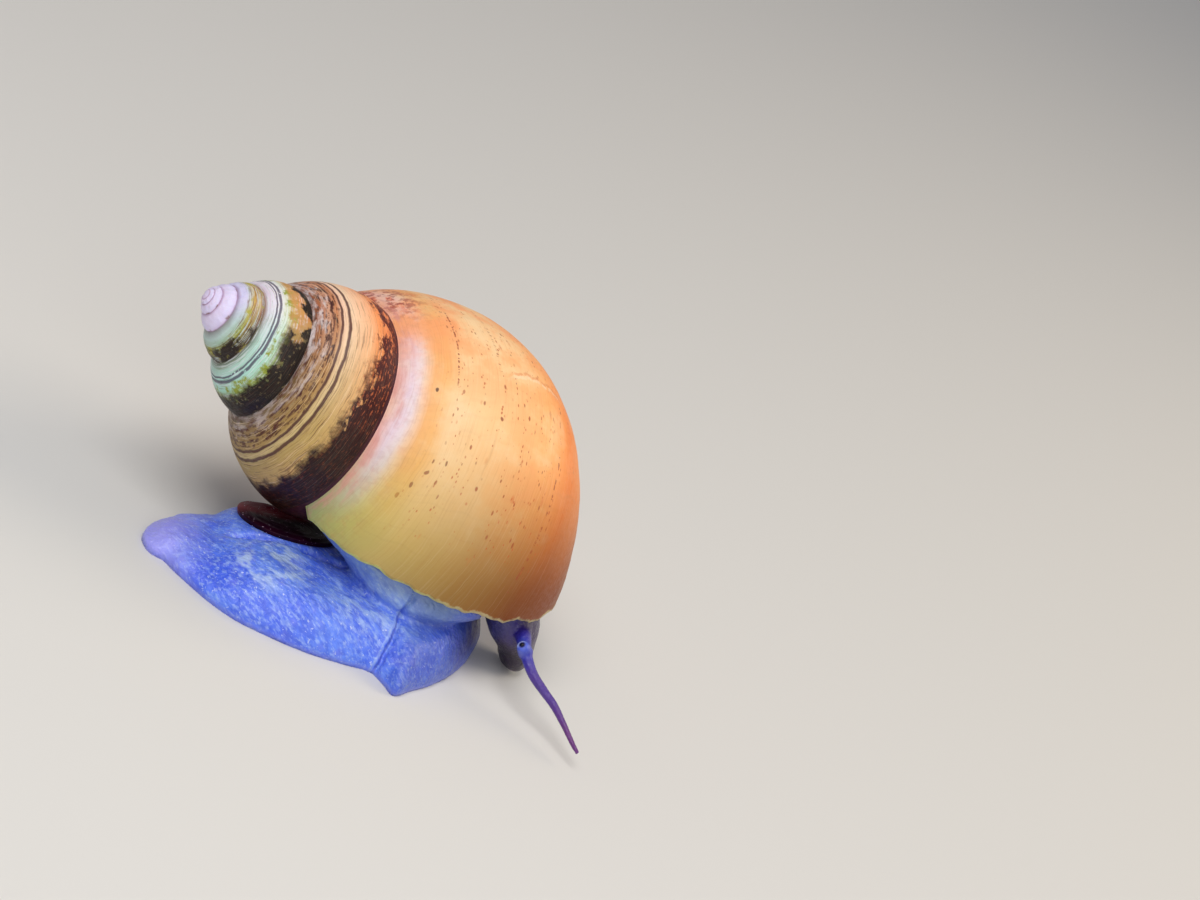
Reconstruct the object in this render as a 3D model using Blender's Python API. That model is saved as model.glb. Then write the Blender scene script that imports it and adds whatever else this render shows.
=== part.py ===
"""Taia snail, crawling with its head towards +X and its sole on the plane z = 0.

Lengths are in metres. +Y is the animal's left. The origin is the middle of the sole.
"""
import math

import bmesh
import bpy
from mathutils import Matrix, Vector

MM = 0.001
GAP = 0.3 * MM

# Shell, a right-handed coil of whorls that widen and lengthen at their own rates
APEX = Vector((-13.9, 3.6, 14.32)) * MM
SPIRE_AZIMUTH = math.radians(194.2)
SPIRE_ELEVATION = math.radians(19.2)
COIL_ROLL = math.radians(-42.9)
RADIAL_GROWTH = 1.644
AXIAL_GROWTH = 1.913
WHORL_HALF_WIDTH = 10.92 * MM
WHORL_HALF_HEIGHT = 11.48 * MM
WHORL_FROM_AXIS = 1.12 * MM
WHORL_BELOW_APEX = 22.5 * MM
WHORL_TILT = math.radians(19.2)
WHORL_SQUARENESS = 2.26
WHORL_EGG = 0.04
APEX_LIFT = 0.13 * MM
CORE_RADIUS = 0.6 * MM
NUCLEUS_DROP = -0.02 * MM
CORE_DROP = -4.0 * MM
TIP_SIDES = 28
TIP_STEPS = 5
SECTIONS_PER_TURN = 32
BISECT_STEPS = 40

# Points round each whorl's section: down its outer side, along the core, and up its inner side
BODY_STEPS = (26, 4, 16)
PENULTIMATE_STEPS = (22, 3, 14)
THIRD_STEPS = (16, 3, 10)

# Aperture, where the last whorl ends level with the floor
APERTURE_HEIGHT = 5.0 * MM
LIP_WALL = 0.7 * MM
RECESS_DEPTH = 1.0 * MM
RECESS_NARROWING = 0.88
OUTER_LIP_TURN = 0.08
LAST_WHOLE_TURN = -0.33
LIP_SECTIONS = 9
LIP_SAMPLES = 60

# Foot, a low mound on a flat sole
SOLE_OUTLINE = [
    (-10.9, -1.2), (-10.4, -2.5), (-9.5, -2.8), (-8.4, -3.7), (-6.4, -5.1), (-4.4, -6.0), (-2.0, -6.2),
    (0.5, -6.1),
    (3.0, -5.5), (4.5, -5.1), (5.4, -5.8), (6.2, -6.7), (7.4, -5.2), (8.8, -3.4), (10.4, -0.6),
    (11.4, 2.2), (11.8, 4.6), (11.2, 6.9), (9.5, 8.6), (6.8, 9.1), (3.5, 9.0), (0.0, 8.2),
    (-3.0, 6.9), (-6.0, 4.9), (-8.6, 2.9), (-10.3, 0.8),
]
SPINE_BACK = Vector((-7.0, 0.0)) * MM
SPINE_FRONT = Vector((7.5, 1.8)) * MM
RIM_HEIGHT = 0.55 * MM
TAIL_HEIGHT = 1.7 * MM
FOOT_HEIGHT = 3.6 * MM
RIDGE_RISE_LENGTH = 7.0 * MM
PLATEAU_HEIGHT = 2.75 * MM
TAIL_END_X = 0.9 * MM
CREASE_X = 4.8 * MM
OUTLINE_STEPS = 3
SOLE_INSET = 0.965
MOUND_FRACTIONS = (0.985, 0.93, 0.83, 0.7, 0.5, 0.25, 0.03)
MOUND_FULLNESS = 0.8

# Column that carries the shell, and the neck in front of it
COLUMN_FRONT_X = 9.7 * MM
COLUMN_BACK_X = -1.2 * MM
COLUMN_LEFT_Y = 8.0 * MM
COLUMN_BASE_CENTRE = Vector((5.3, 1.9)) * MM
COLUMN_BASE_HALF_LENGTH = 4.3 * MM
COLUMN_BASE_HALF_WIDTH = 4.5 * MM
COLUMN_STATIONS = (0.0, 0.25, 0.5, 0.75, 1.0)
COLUMN_FLARE = 0.7

# Head, in sections down one line: centre x, y, z, half width, half depth
NECK_SECTIONS = [
    (11.2, 3.0, 5.1, 2.3, 0.9), (11.4, 3.0, 4.8, 2.6, 1.3),
    (11.8, 3.0, 4.4, 2.8, 1.6), (12.3, 3.0, 3.9, 2.8, 1.7),
]
HEAD_SECTIONS = [
    (12.5, 3.0, 3.65, 2.75, 1.7), (12.9, 3.05, 3.15, 2.7, 1.65),
    (13.3, 3.1, 2.6, 2.4, 1.5), (13.6, 3.1, 2.15, 2.0, 1.3),
]
SNOUT_SECTIONS = [
    (13.75, 3.1, 1.9, 1.8, 1.2), (13.95, 3.1, 1.45, 1.6, 1.1),
    (14.1, 3.1, 0.95, 1.55, 1.05), (14.15, 3.1, 0.55, 1.2, 0.8),
]
HEAD_SIDES = 20
MOUTH_HEIGHT = 0.3 * MM
MOUTH_WIDTH = 1.7 * MM
MOUTH_DEPTH = 0.35 * MM

# Tentacles, each along a line of points from inside the head to its tip
TENTACLE_RIGHT = [
    (13.0, 1.6, 3.9), (13.15, 0.0, 3.85), (13.5, -1.5, 3.55), (14.2, -2.4, 3.05), (15.2, -3.0, 2.6),
    (16.0, -3.5, 2.3), (16.9, -4.4, 1.85), (17.7, -5.3, 1.4), (18.2, -5.9, 1.2),
]
TENTACLE_LEFT = [
    (13.0, 4.6, 3.9), (13.15, 6.1, 3.85), (13.3, 7.4, 3.55), (13.6, 8.6, 3.15), (14.0, 9.8, 2.75),
    (14.5, 10.9, 2.35), (15.0, 12.0, 1.95), (15.5, 12.9, 1.6), (15.8, 13.4, 1.4),
]
TENTACLE_TIP_RADIUS = 0.14 * MM
TENTACLE_THICKENING = 0.32 * MM
TENTACLE_TAPER = 0.9
TENTACLE_ROOT_THICKENING = 0.26 * MM
TENTACLE_ROOT_SHARE = 0.16
TENTACLE_CUTS = (0.34, 0.66)
TENTACLE_SECTIONS = 7
TENTACLE_SIDES = 9
PATH_STEPS = 6

# Eyes, each on a short stalk at the outer side of a tentacle's base
EYE_STATION = 11
STALK_LENGTH = 0.4 * MM
STALK_RADIUS = 0.45 * MM
STALK_SIDES = 12
STALK_PROFILE = ((0.0, 1.0), (0.35, 0.98), (0.7, 0.9), (0.9, 0.75), (1.0, 0.5))
EYE_WAY_RIGHT = (-0.28, -0.82, 0.33)
EYE_WAY_LEFT = (-0.28, 0.82, 0.33)
EYE_RADIUS = 0.21 * MM
EYE_GAP = 0.08 * MM

# Operculum, a thin oval lid carried on the back of the foot
OPERCULUM_CENTRE = Vector((-2.65, 3.6, 2.46)) * MM
OPERCULUM_HALF_LENGTH = 3.2 * MM
OPERCULUM_HALF_WIDTH = 2.8 * MM
OPERCULUM_THICKNESS = 0.5 * MM
OPERCULUM_TILT = math.radians(-12.0)
OPERCULUM_PITCH = math.radians(-6.0)
OPERCULUM_SIDES = 28
OPERCULUM_FULLNESS = 0.16
OPERCULUM_EDGE = 0.12 * MM
OPERCULUM_DISH = ((1.1 * MM, 0.7), (2.0 * MM, 0.5))


def clear_scene():
    """Remove every object, so that the model starts from nothing."""
    for item in list(bpy.data.objects):
        bpy.data.objects.remove(item)


def material(name, colour, roughness, metallic=0.0):
    """A plain surface of one colour."""
    made = bpy.data.materials.new(name)
    made.use_nodes = True
    shader = made.node_tree.nodes["Principled BSDF"]
    shader.inputs["Base Color"].default_value = (*colour, 1.0)
    shader.inputs["Roughness"].default_value = roughness
    shader.inputs["Metallic"].default_value = metallic
    return made


def add_object(name, mesh, surface):
    """Put a mesh into the scene, smooth, with its surface."""
    mesh.shade_smooth()
    mesh.set_sharp_from_angle(angle=math.radians(40))
    mesh.materials.append(surface)
    made = bpy.data.objects.new(name, mesh)
    bpy.context.collection.objects.link(made)
    return made


def loft(name, rings, surface):
    """A closed body through rings of points, with a flat face at each end."""
    work = bmesh.new()
    loops = [[work.verts.new(point) for point in ring] for ring in rings]
    count = len(rings[0])
    for lower, upper in zip(loops, loops[1:]):
        for i in range(count):
            j = (i + 1) % count
            work.faces.new((lower[i], lower[j], upper[j], upper[i]))
    work.faces.new(list(reversed(loops[0])))
    work.faces.new(loops[-1])
    return closed_body(name, work, surface)


def closed_body(name, work, surface):
    """Finish a closed mesh, with its faces pointing out, as an object."""
    bmesh.ops.recalc_face_normals(work, faces=work.faces)
    if work.calc_volume(signed=True) < 0:
        bmesh.ops.reverse_faces(work, faces=work.faces)
    mesh = bpy.data.meshes.new(name)
    work.to_mesh(mesh)
    work.free()
    return add_object(name, mesh, surface)


def keep_side(item, point, normal):
    """Cut a body by a plane, drop the side that the normal points to, and close the cut."""
    work = bmesh.new()
    work.from_mesh(item.data)
    everything = work.verts[:] + work.edges[:] + work.faces[:]
    bmesh.ops.bisect_plane(work, geom=everything, plane_co=point, plane_no=normal, clear_outer=True)
    rim = [edge for edge in work.edges if edge.is_boundary]
    bmesh.ops.contextual_create(work, geom=rim)
    bmesh.ops.recalc_face_normals(work, faces=work.faces)
    work.to_mesh(item.data)
    work.free()


def keep_largest(item):
    """Keep only a body's largest closed surface."""
    work = bmesh.new()
    work.from_mesh(item.data)
    left = set(work.verts)
    parts = []
    while left:
        found = set()
        front = [left.pop()]
        while front:
            vert = front.pop()
            found.add(vert)
            for edge in vert.link_edges:
                other = edge.other_vert(vert)
                if other in left:
                    left.remove(other)
                    front.append(other)
        parts.append(found)
    parts.sort(key=len)
    loose = [vert for part in parts[:-1] for vert in part]
    bmesh.ops.delete(work, geom=loose, context="VERTS")
    work.to_mesh(item.data)
    work.free()


def boolean(item, tool, operation, solver="EXACT"):
    """Cut a body with a tool, or join the two, and remove the tool."""
    step = item.modifiers.new(operation.lower(), "BOOLEAN")
    step.operation = operation
    step.solver = solver
    step.object = tool
    graph = bpy.context.evaluated_depsgraph_get()
    result = bpy.data.meshes.new_from_object(item.evaluated_get(graph))
    item.modifiers.clear()
    item.data = result
    bpy.data.objects.remove(tool)
    keep_largest(item)


def smooth_path(points, steps):
    """Points on a smooth curve through the given points, with some steps between each two."""
    line = [Vector(point) * MM for point in points]
    ends = [2 * line[0] - line[1]] + line + [2 * line[-1] - line[-2]]
    out = []
    for i in range(1, len(ends) - 2):
        a, b, c, d = ends[i - 1:i + 3]
        for k in range(steps):
            u = k / steps
            out.append(0.5 * (2 * b + (c - a) * u + (2 * a - 5 * b + 4 * c - d) * u * u
                              + (3 * b - a - 3 * c + d) * u ** 3))
    out.append(line[-1])
    return out


def closed_path(points, steps):
    """Points on a smooth closed curve through the given points."""
    line = [Vector((x, y)) * MM for x, y in points]
    count = len(line)
    out = []
    for i in range(count):
        a, b, c, d = (line[(i + k) % count] for k in (-1, 0, 1, 2))
        for k in range(steps):
            u = k / steps
            out.append(0.5 * (2 * b + (c - a) * u + (2 * a - 5 * b + 4 * c - d) * u * u
                              + (3 * b - a - 3 * c + d) * u ** 3))
    return out


def shell_frame():
    """The turn and place of the shell: its own z axis runs up the coil's axis to the apex."""
    up = Vector((math.cos(SPIRE_ELEVATION) * math.cos(SPIRE_AZIMUTH),
                 math.cos(SPIRE_ELEVATION) * math.sin(SPIRE_AZIMUTH),
                 math.sin(SPIRE_ELEVATION)))
    level = Vector((-math.sin(SPIRE_AZIMUTH), math.cos(SPIRE_AZIMUTH), 0.0))
    rise = up.cross(level)
    out = math.cos(COIL_ROLL) * level + math.sin(COIL_ROLL) * rise
    turn = Matrix((out, up.cross(out), up)).transposed()
    return Matrix.Translation(APEX) @ turn.to_4x4()


SHELL_FRAME = shell_frame()


def signed_power(value, power):
    """A value raised to a power, with its sign kept."""
    return math.copysign(abs(value) ** power, value)


def bisect(test, low, high):
    """The value between low and high where the test changes sign."""
    rising = test(high) > 0
    for _ in range(BISECT_STEPS):
        middle = (low + high) / 2
        if (test(middle) > 0) == rising:
            high = middle
        else:
            low = middle
    return (low + high) / 2


def whorl_point(turn, angle, swell=0.0):
    """Distance from the axis and height of a point on the outline, at a turn counted back from the lip."""
    radial = RADIAL_GROWTH ** turn
    axial = AXIAL_GROWTH ** turn
    sine = signed_power(math.sin(angle), 2 / WHORL_SQUARENESS)
    cosine = signed_power(math.cos(angle), 2 / WHORL_SQUARENESS)
    across = (WHORL_HALF_WIDTH + swell / radial) * cosine * (1 + WHORL_EGG * sine)
    along = (WHORL_HALF_HEIGHT + swell / axial) * sine
    out = WHORL_FROM_AXIS + across * math.cos(WHORL_TILT) - along * math.sin(WHORL_TILT)
    down = -WHORL_BELOW_APEX + across * math.sin(WHORL_TILT) + along * math.cos(WHORL_TILT)
    return radial * out, axial * down + APEX_LIFT


def whorl_place(turn, out, height, swell):
    """Where a point lies against the whorl's outline: its level, negative inside, and its angle."""
    radial = RADIAL_GROWTH ** turn
    axial = AXIAL_GROWTH ** turn
    r = out / radial - WHORL_FROM_AXIS
    z = (height - APEX_LIFT) / axial + WHORL_BELOW_APEX
    across = r * math.cos(WHORL_TILT) + z * math.sin(WHORL_TILT)
    along = z * math.cos(WHORL_TILT) - r * math.sin(WHORL_TILT)
    sine = along / (WHORL_HALF_HEIGHT + swell / axial)
    cosine = across / (WHORL_HALF_WIDTH + swell / radial) / (1 + WHORL_EGG * sine)
    level = abs(cosine) ** WHORL_SQUARENESS + abs(sine) ** WHORL_SQUARENESS - 1
    angle = math.atan2(signed_power(sine, WHORL_SQUARENESS / 2), signed_power(cosine, WHORL_SQUARENESS / 2))
    return level, angle


def base_angle(turn, swell=0.0):
    """The angle at which the underside of a whorl reaches the core."""
    return bisect(lambda a: whorl_point(turn, a, swell)[0] - CORE_RADIUS, -math.pi, -math.pi / 2)


def suture_angle(turn, gap=GAP):
    """The angle at which a whorl meets the one before it, which is swollen by the gap."""
    return bisect(lambda a: whorl_place(turn - 1, *whorl_point(turn, a), gap)[0], math.radians(100), 0.0)


def to_world(turn, out, height):
    """A point of the shell in the world, from its turn, distance and height."""
    angle = -2 * math.pi * turn
    return SHELL_FRAME @ Vector((out * math.cos(angle), out * math.sin(angle), height))


def whorl_ring(turn, outer_steps, core_steps, inner_steps):
    """The section of one whorl, less the whorl before it: outer side, core, then the inner side back up."""
    top = suture_angle(turn)
    base = base_angle(turn)
    outline = [whorl_point(turn, top + (base - top) * i / outer_steps) for i in range(outer_steps + 1)]
    old_base = base_angle(turn - 1, GAP)
    old_top = whorl_place(turn - 1, *outline[0], GAP)[1]
    core_low = outline[-1][1]
    core_high = whorl_point(turn - 1, old_base, GAP)[1]
    outline += [(CORE_RADIUS, core_low + (core_high - core_low) * i / core_steps)
                for i in range(1, core_steps)]
    outline += [whorl_point(turn - 1, old_base + (old_top - old_base) * i / inner_steps, GAP)
                for i in range(inner_steps)]
    return outline


def whorl_turns(start, end):
    """The turns of the sections of one whorl."""
    step_count = round((end - start) * SECTIONS_PER_TURN)
    return [start + (end - start) * i / step_count for i in range(step_count + 1)]


def middle_of(points):
    """The mean of some points."""
    return sum(points, Vector((0, 0, 0))) / len(points)


def body_ring(turn):
    """The body whorl's section in the world."""
    return [to_world(turn, *point) for point in whorl_ring(turn, *BODY_STEPS)]


def lip_turns():
    """The turn at which each line of the body whorl ends: at the aperture's level, or at the last turn."""
    samples = [LAST_WHOLE_TURN * (1 - i / LIP_SAMPLES) for i in range(LIP_SAMPLES + 1)]
    rings = [body_ring(turn) for turn in samples]
    ends = []
    for j in range(len(rings[0])):
        end = 0.0
        for k in range(1, len(samples)):
            above = rings[k - 1][j].z - APERTURE_HEIGHT
            below = rings[k][j].z - APERTURE_HEIGHT
            if above > 0 >= below:
                end = samples[k - 1] + (samples[k] - samples[k - 1]) * above / (above - below)
                break
        ends.append(end)
    return ends


def body_ring_at(turns):
    """The body whorl's section with each of its lines at a turn of its own."""
    found = {}
    for j, turn in enumerate(turns):
        key = round(turn, 6)
        if key not in found:
            found[key] = body_ring(turn)
    return [found[round(turn, 6)][j] for j, turn in enumerate(turns)]


LIP_TURNS = lip_turns()
LIP_RING = body_ring_at(LIP_TURNS)
LIP_MIDDLE = middle_of(LIP_RING)
RECESS_WAY = (middle_of(body_ring(LAST_WHOLE_TURN + 0.1)) - LIP_MIDDLE).normalized()


def aperture_ring(inset, depth, narrowing):
    """The aperture's outline, drawn in by an inset and, along the outer lip, moved up into the shell."""
    ring = []
    for point, turn in zip(LIP_RING, LIP_TURNS):
        inward = LIP_MIDDLE - point
        drawn_in = point + inward * inset / inward.length
        sunk = depth * min(-turn / OUTER_LIP_TURN, 1.0)
        ring.append(LIP_MIDDLE + (drawn_in - LIP_MIDDLE) * narrowing + RECESS_WAY * sunk)
    return ring


def parting(turn):
    """The share of a turn that leaves the gap between the end faces of two whorls."""
    return GAP / (2 * math.pi * WHORL_HALF_WIDTH * RADIAL_GROWTH ** turn)


def body_whorl(surface):
    """The last whorl, from under the lip round to the aperture, with the aperture sunk into it."""
    rings = [body_ring(turn) for turn in whorl_turns(-1 + parting(-1), LAST_WHOLE_TURN)]
    for i in range(1, LIP_SECTIONS):
        turns = [LAST_WHOLE_TURN + (end - LAST_WHOLE_TURN) * i / LIP_SECTIONS for end in LIP_TURNS]
        rings.append(body_ring_at(turns))
    rings.append(LIP_RING)
    rings.append(aperture_ring(LIP_WALL, 0.0, 1.0))
    rings.append(aperture_ring(LIP_WALL, RECESS_DEPTH, RECESS_NARROWING))
    return loft("shell_body_whorl", rings, surface)


def spire_whorl(name, end, steps, surface):
    """One whole whorl of the spire, up to a turn counted back from the lip."""
    turns = whorl_turns(end - 1 + parting(end), end)
    rings = [[to_world(turn, *point) for point in whorl_ring(turn, *steps)] for turn in turns]
    return loft(name, rings, surface)


def tip_visible(turn):
    """The part of a first whorl's outline between its two sutures, without its last point."""
    top = suture_angle(turn, 0.0)
    base = lower_suture(turn)
    return [whorl_point(turn, top + (base - top) * i / TIP_STEPS) for i in range(TIP_STEPS)]


def lower_suture(turn):
    """The angle on a first whorl's outline at which the next whorl meets it."""
    return whorl_place(turn, *whorl_point(turn + 1, suture_angle(turn + 1, 0.0)), 0.0)[1]


def tip_profile(turn):
    """The outside of the first whorls on one side of the axis, from the innermost down to the core."""
    points = tip_visible(turn - 2) + tip_visible(turn - 1) + tip_visible(turn)
    low = lower_suture(turn)
    base = base_angle(turn)
    points += [whorl_point(turn, low + (base - low) * i / TIP_STEPS) for i in range(TIP_STEPS + 1)]
    return [to_world(turn, *point) for point in points]


def spire_tip(surface):
    """The first three whorls as one tip, closed above by the worn nucleus and below at the core."""
    work = bmesh.new()
    profiles = [[work.verts.new(point) for point in tip_profile(-3 - i / TIP_SIDES)]
                for i in range(TIP_SIDES)]
    first = profiles[0]
    shared = 3 * TIP_STEPS
    seam = [work.verts.new(point) for point in tip_profile(-4)]
    for k in range(TIP_STEPS, shared + 1):
        work.verts.remove(seam[k])
        seam[k] = first[k - TIP_STEPS]
    profiles.append(seam)
    for before, after in zip(profiles, profiles[1:]):
        for k in range(len(before) - 1):
            work.faces.new((before[k], before[k + 1], after[k + 1], after[k]))
    work.faces.new(first[shared - TIP_STEPS:] + list(reversed(seam[shared + 1:])))
    top = work.verts.new(SHELL_FRAME @ Vector((0, 0, NUCLEUS_DROP)))
    bottom = work.verts.new(SHELL_FRAME @ Vector((0, 0, CORE_DROP)))
    for before, after in zip(profiles, profiles[1:]):
        work.faces.new((top, before[0], after[0]))
        work.faces.new((bottom, after[-1], before[-1]))
    work.faces.new((bottom, first[-1], seam[-1]))
    for k in range(TIP_STEPS):
        work.faces.new((top, seam[k], seam[k + 1]))
    return closed_body("shell_apex", work, surface)


def foot_ridge(place):
    """Height of the foot over its spine, low at the tail."""
    part = min(max((place - SPINE_BACK.x) / RIDGE_RISE_LENGTH, 0.0), 1.0)
    return TAIL_HEIGHT + (FOOT_HEIGHT - TAIL_HEIGHT) * math.sin(part * math.pi / 2)


def foot_ring(outline, fraction, height=None):
    """The sole's outline drawn in towards the spine, at the height that the foot has there."""
    ring = []
    for point in outline:
        place = min(max(point.x, SPINE_BACK.x), SPINE_FRONT.x)
        part = (place - SPINE_BACK.x) / (SPINE_FRONT.x - SPINE_BACK.x)
        spine = SPINE_BACK.lerp(SPINE_FRONT, part)
        flat = spine + (point - spine) * fraction
        crown = RIM_HEIGHT + (foot_ridge(place) - RIM_HEIGHT) * (1 - fraction ** 3) ** MOUND_FULLNESS
        ring.append(Vector((flat.x, flat.y, min(crown, PLATEAU_HEIGHT) if height is None else height)))
    return ring


def foot_mound(name, surface):
    """The whole foot before it is parted."""
    outline = closed_path(SOLE_OUTLINE, OUTLINE_STEPS)
    rings = [foot_ring(outline, SOLE_INSET, 0.0), foot_ring(outline, 1.0, RIM_HEIGHT / 2)]
    rings += [foot_ring(outline, fraction) for fraction in MOUND_FRACTIONS]
    return loft(name, rings, surface)


def operculum_ring(reach, height):
    """An oval about the operculum's middle, a little fuller towards the tail."""
    tilt = Matrix.Rotation(OPERCULUM_PITCH, 4, "Y") @ Matrix.Rotation(OPERCULUM_TILT, 4, "X")
    ring = []
    for i in range(OPERCULUM_SIDES):
        angle = 2 * math.pi * i / OPERCULUM_SIDES
        x = (OPERCULUM_HALF_LENGTH + reach) * math.cos(angle)
        y = (OPERCULUM_HALF_WIDTH + reach) * math.sin(angle) * (1 - OPERCULUM_FULLNESS * math.cos(angle))
        ring.append(OPERCULUM_CENTRE + tilt @ Vector((x, y, height)))
    return ring


def operculum(surface):
    """The lid, dished on its outer face."""
    half = OPERCULUM_THICKNESS / 2
    rings = [operculum_ring(-OPERCULUM_EDGE, -half), operculum_ring(0.0, 0.0)]
    rings += [operculum_ring(-OPERCULUM_EDGE, half)]
    rings += [operculum_ring(-inset, half * share) for inset, share in OPERCULUM_DISH]
    return loft("operculum", rings, surface)


def operculum_bed():
    """The space that the lid takes up on the foot, open above."""
    low = -OPERCULUM_THICKNESS / 2 - GAP
    return loft("operculum_bed", [operculum_ring(GAP, low), operculum_ring(GAP, APERTURE_HEIGHT)], None)


def foot_parts(surface):
    """The foot parted across into tail, middle and front, with the lid's bed in the tail."""
    tail = foot_mound("foot_tail", surface)
    keep_side(tail, Vector((TAIL_END_X - GAP / 2, 0, 0)), Vector((1, 0, 0)))
    boolean(tail, operculum_bed(), "DIFFERENCE")
    middle = foot_mound("foot_middle", surface)
    keep_side(middle, Vector((TAIL_END_X + GAP / 2, 0, 0)), Vector((-1, 0, 0)))
    keep_side(middle, Vector((CREASE_X - GAP / 2, 0, 0)), Vector((1, 0, 0)))
    front = foot_mound("foot_front", surface)
    keep_side(front, Vector((CREASE_X + GAP / 2, 0, 0)), Vector((-1, 0, 0)))
    return tail, middle, front


def column(surface):
    """The thick stalk of flesh between the foot and the aperture, widest at its foot."""
    floor = PLATEAU_HEIGHT + GAP
    ceiling = APERTURE_HEIGHT - GAP
    mouth = aperture_ring(LIP_WALL, 0.0, 1.0)
    rings = []
    for part in COLUMN_STATIONS:
        ring = []
        for point in mouth:
            angle = math.atan2(point.y - LIP_MIDDLE.y, point.x - LIP_MIDDLE.x)
            base = COLUMN_BASE_CENTRE + Vector((COLUMN_BASE_HALF_LENGTH * math.cos(angle),
                                                COLUMN_BASE_HALF_WIDTH * math.sin(angle)))
            flat = base.lerp(point.xy, part ** COLUMN_FLARE)
            ring.append(Vector((flat.x, flat.y, floor + (ceiling - floor) * part)))
        rings.append(ring)
    for ring in rings:
        for point in ring:
            point.x = min(max(point.x, COLUMN_BACK_X), COLUMN_FRONT_X)
            point.y = min(point.y, COLUMN_LEFT_Y)
    return loft("body_column", rings, surface)


def head_rings(sections, swell=0.0):
    """Oval sections down the head's line, each square to the line."""
    line = [Vector(section[:3]) * MM for section in sections]
    rings = []
    for i, (x, y, z, half_width, half_depth) in enumerate(sections):
        along = line[min(i + 1, len(line) - 1)] - line[max(i - 1, 0)]
        depth_way = Vector((-along.z, 0, along.x)).normalized()
        ring = []
        for k in range(HEAD_SIDES):
            angle = 2 * math.pi * k / HEAD_SIDES
            side = Vector((0, 1, 0)) * (half_width * MM + swell) * math.cos(angle)
            deep = depth_way * (half_depth * MM + swell) * math.sin(angle)
            ring.append(line[i] + side + deep)
        rings.append(ring)
    return rings


def neck(surface):
    """The neck, flat where it meets the column."""
    made = loft("neck", head_rings(NECK_SECTIONS), surface)
    keep_side(made, Vector((COLUMN_FRONT_X + GAP, 0, 0)), Vector((-1, 0, 0)))
    return made


def snout(surface):
    """The blunt snout, with the line of the mouth across its lower end."""
    made = loft("snout", head_rings(SNOUT_SECTIONS), surface)
    x, y, z = SNOUT_SECTIONS[-1][:3]
    bpy.ops.mesh.primitive_cube_add(size=1)
    slot = bpy.context.object
    slot.matrix_world = Matrix.LocRotScale(Vector((x, y, z)) * MM, None,
                                           Vector((MOUTH_HEIGHT, MOUTH_WIDTH, 2 * MOUTH_DEPTH)))
    boolean(made, slot, "DIFFERENCE")
    return made


def tube_rings(path, radii, sides):
    """Round sections along a path."""
    rings = []
    for i, point in enumerate(path):
        along = (path[min(i + 1, len(path) - 1)] - path[max(i - 1, 0)]).normalized()
        level = along.cross(Vector((0, 0, 1))).normalized()
        rise = level.cross(along)
        ring = []
        for k in range(sides):
            angle = 2 * math.pi * k / sides
            ring.append(point + radii[i] * (math.cos(angle) * level + math.sin(angle) * rise))
        rings.append(ring)
    return rings


def tentacle_radius(part):
    """Radius at a fraction of the tentacle's length, thick at the base and slender from there."""
    slender = (1 - part) ** TENTACLE_TAPER
    root = math.exp(-(part / TENTACLE_ROOT_SHARE) ** 2)
    return TENTACLE_TIP_RADIUS + TENTACLE_THICKENING * slender + TENTACLE_ROOT_THICKENING * root


def lengths_along(path):
    """The distance from the start of a path to each of its points."""
    total = [0.0]
    for a, b in zip(path, path[1:]):
        total.append(total[-1] + (b - a).length)
    return total


def point_along(path, lengths, distance):
    """The point at a distance along a path."""
    i = 1
    while i < len(path) - 1 and lengths[i] < distance:
        i += 1
    part = (distance - lengths[i - 1]) / (lengths[i] - lengths[i - 1])
    return path[i - 1].lerp(path[i], part)


def tentacle(side, points, surface):
    """One tentacle in three lengths, its root shaped to the side of the head."""
    path = smooth_path(points, PATH_STEPS)
    lengths = lengths_along(path)
    whole = lengths[-1]
    stations = (0.0,) + TENTACLE_CUTS + (1.0,)
    made = []
    for name, start, end in zip(("base", "middle", "tip"), stations, stations[1:]):
        low = start * whole + (GAP / 2 if start > 0 else 0.0)
        high = end * whole - (GAP / 2 if end < 1 else 0.0)
        places = [low + (high - low) * i / TENTACLE_SECTIONS for i in range(TENTACLE_SECTIONS + 1)]
        line = [point_along(path, lengths, place) for place in places]
        radii = [tentacle_radius(place / whole) for place in places]
        made.append(loft(f"tentacle_{side}_{name}", tube_rings(line, radii, TENTACLE_SIDES), surface))
    head_space = loft("head_space", head_rings(NECK_SECTIONS + HEAD_SECTIONS, GAP), None)
    boolean(made[0], head_space, "DIFFERENCE")
    return made


def eye_and_stalk(side, points, outward, flesh, dark):
    """A short stalk on the outer side of the tentacle's base, with the eye sunk in its end."""
    path = smooth_path(points, PATH_STEPS)
    lengths = lengths_along(path)
    root = path[EYE_STATION]
    along = (path[EYE_STATION + 1] - path[EYE_STATION - 1]).normalized()
    way = Vector(outward)
    way = (way - along * way.dot(along)).normalized()
    clear = tentacle_radius(lengths[EYE_STATION] / lengths[-1]) + GAP / 2
    tip = root + way * (clear + STALK_LENGTH)
    line = [root + way * (clear + STALK_LENGTH * part) for part, _ in STALK_PROFILE]
    radii = [STALK_RADIUS * width for _, width in STALK_PROFILE]
    stalk = loft(f"eye_stalk_{side}", tube_rings(line, radii, STALK_SIDES), flesh)
    boolean(stalk, ball("eye_space", tip, EYE_RADIUS + EYE_GAP, None), "DIFFERENCE")
    eye = ball(f"eye_{side}", tip, EYE_RADIUS, dark)
    return stalk, eye


def ball(name, centre, radius, surface):
    """A round ball."""
    work = bmesh.new()
    bmesh.ops.create_icosphere(work, subdivisions=2, radius=radius, matrix=Matrix.Translation(centre))
    mesh = bpy.data.meshes.new(name)
    work.to_mesh(mesh)
    work.free()
    return add_object(name, mesh, surface)


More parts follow.
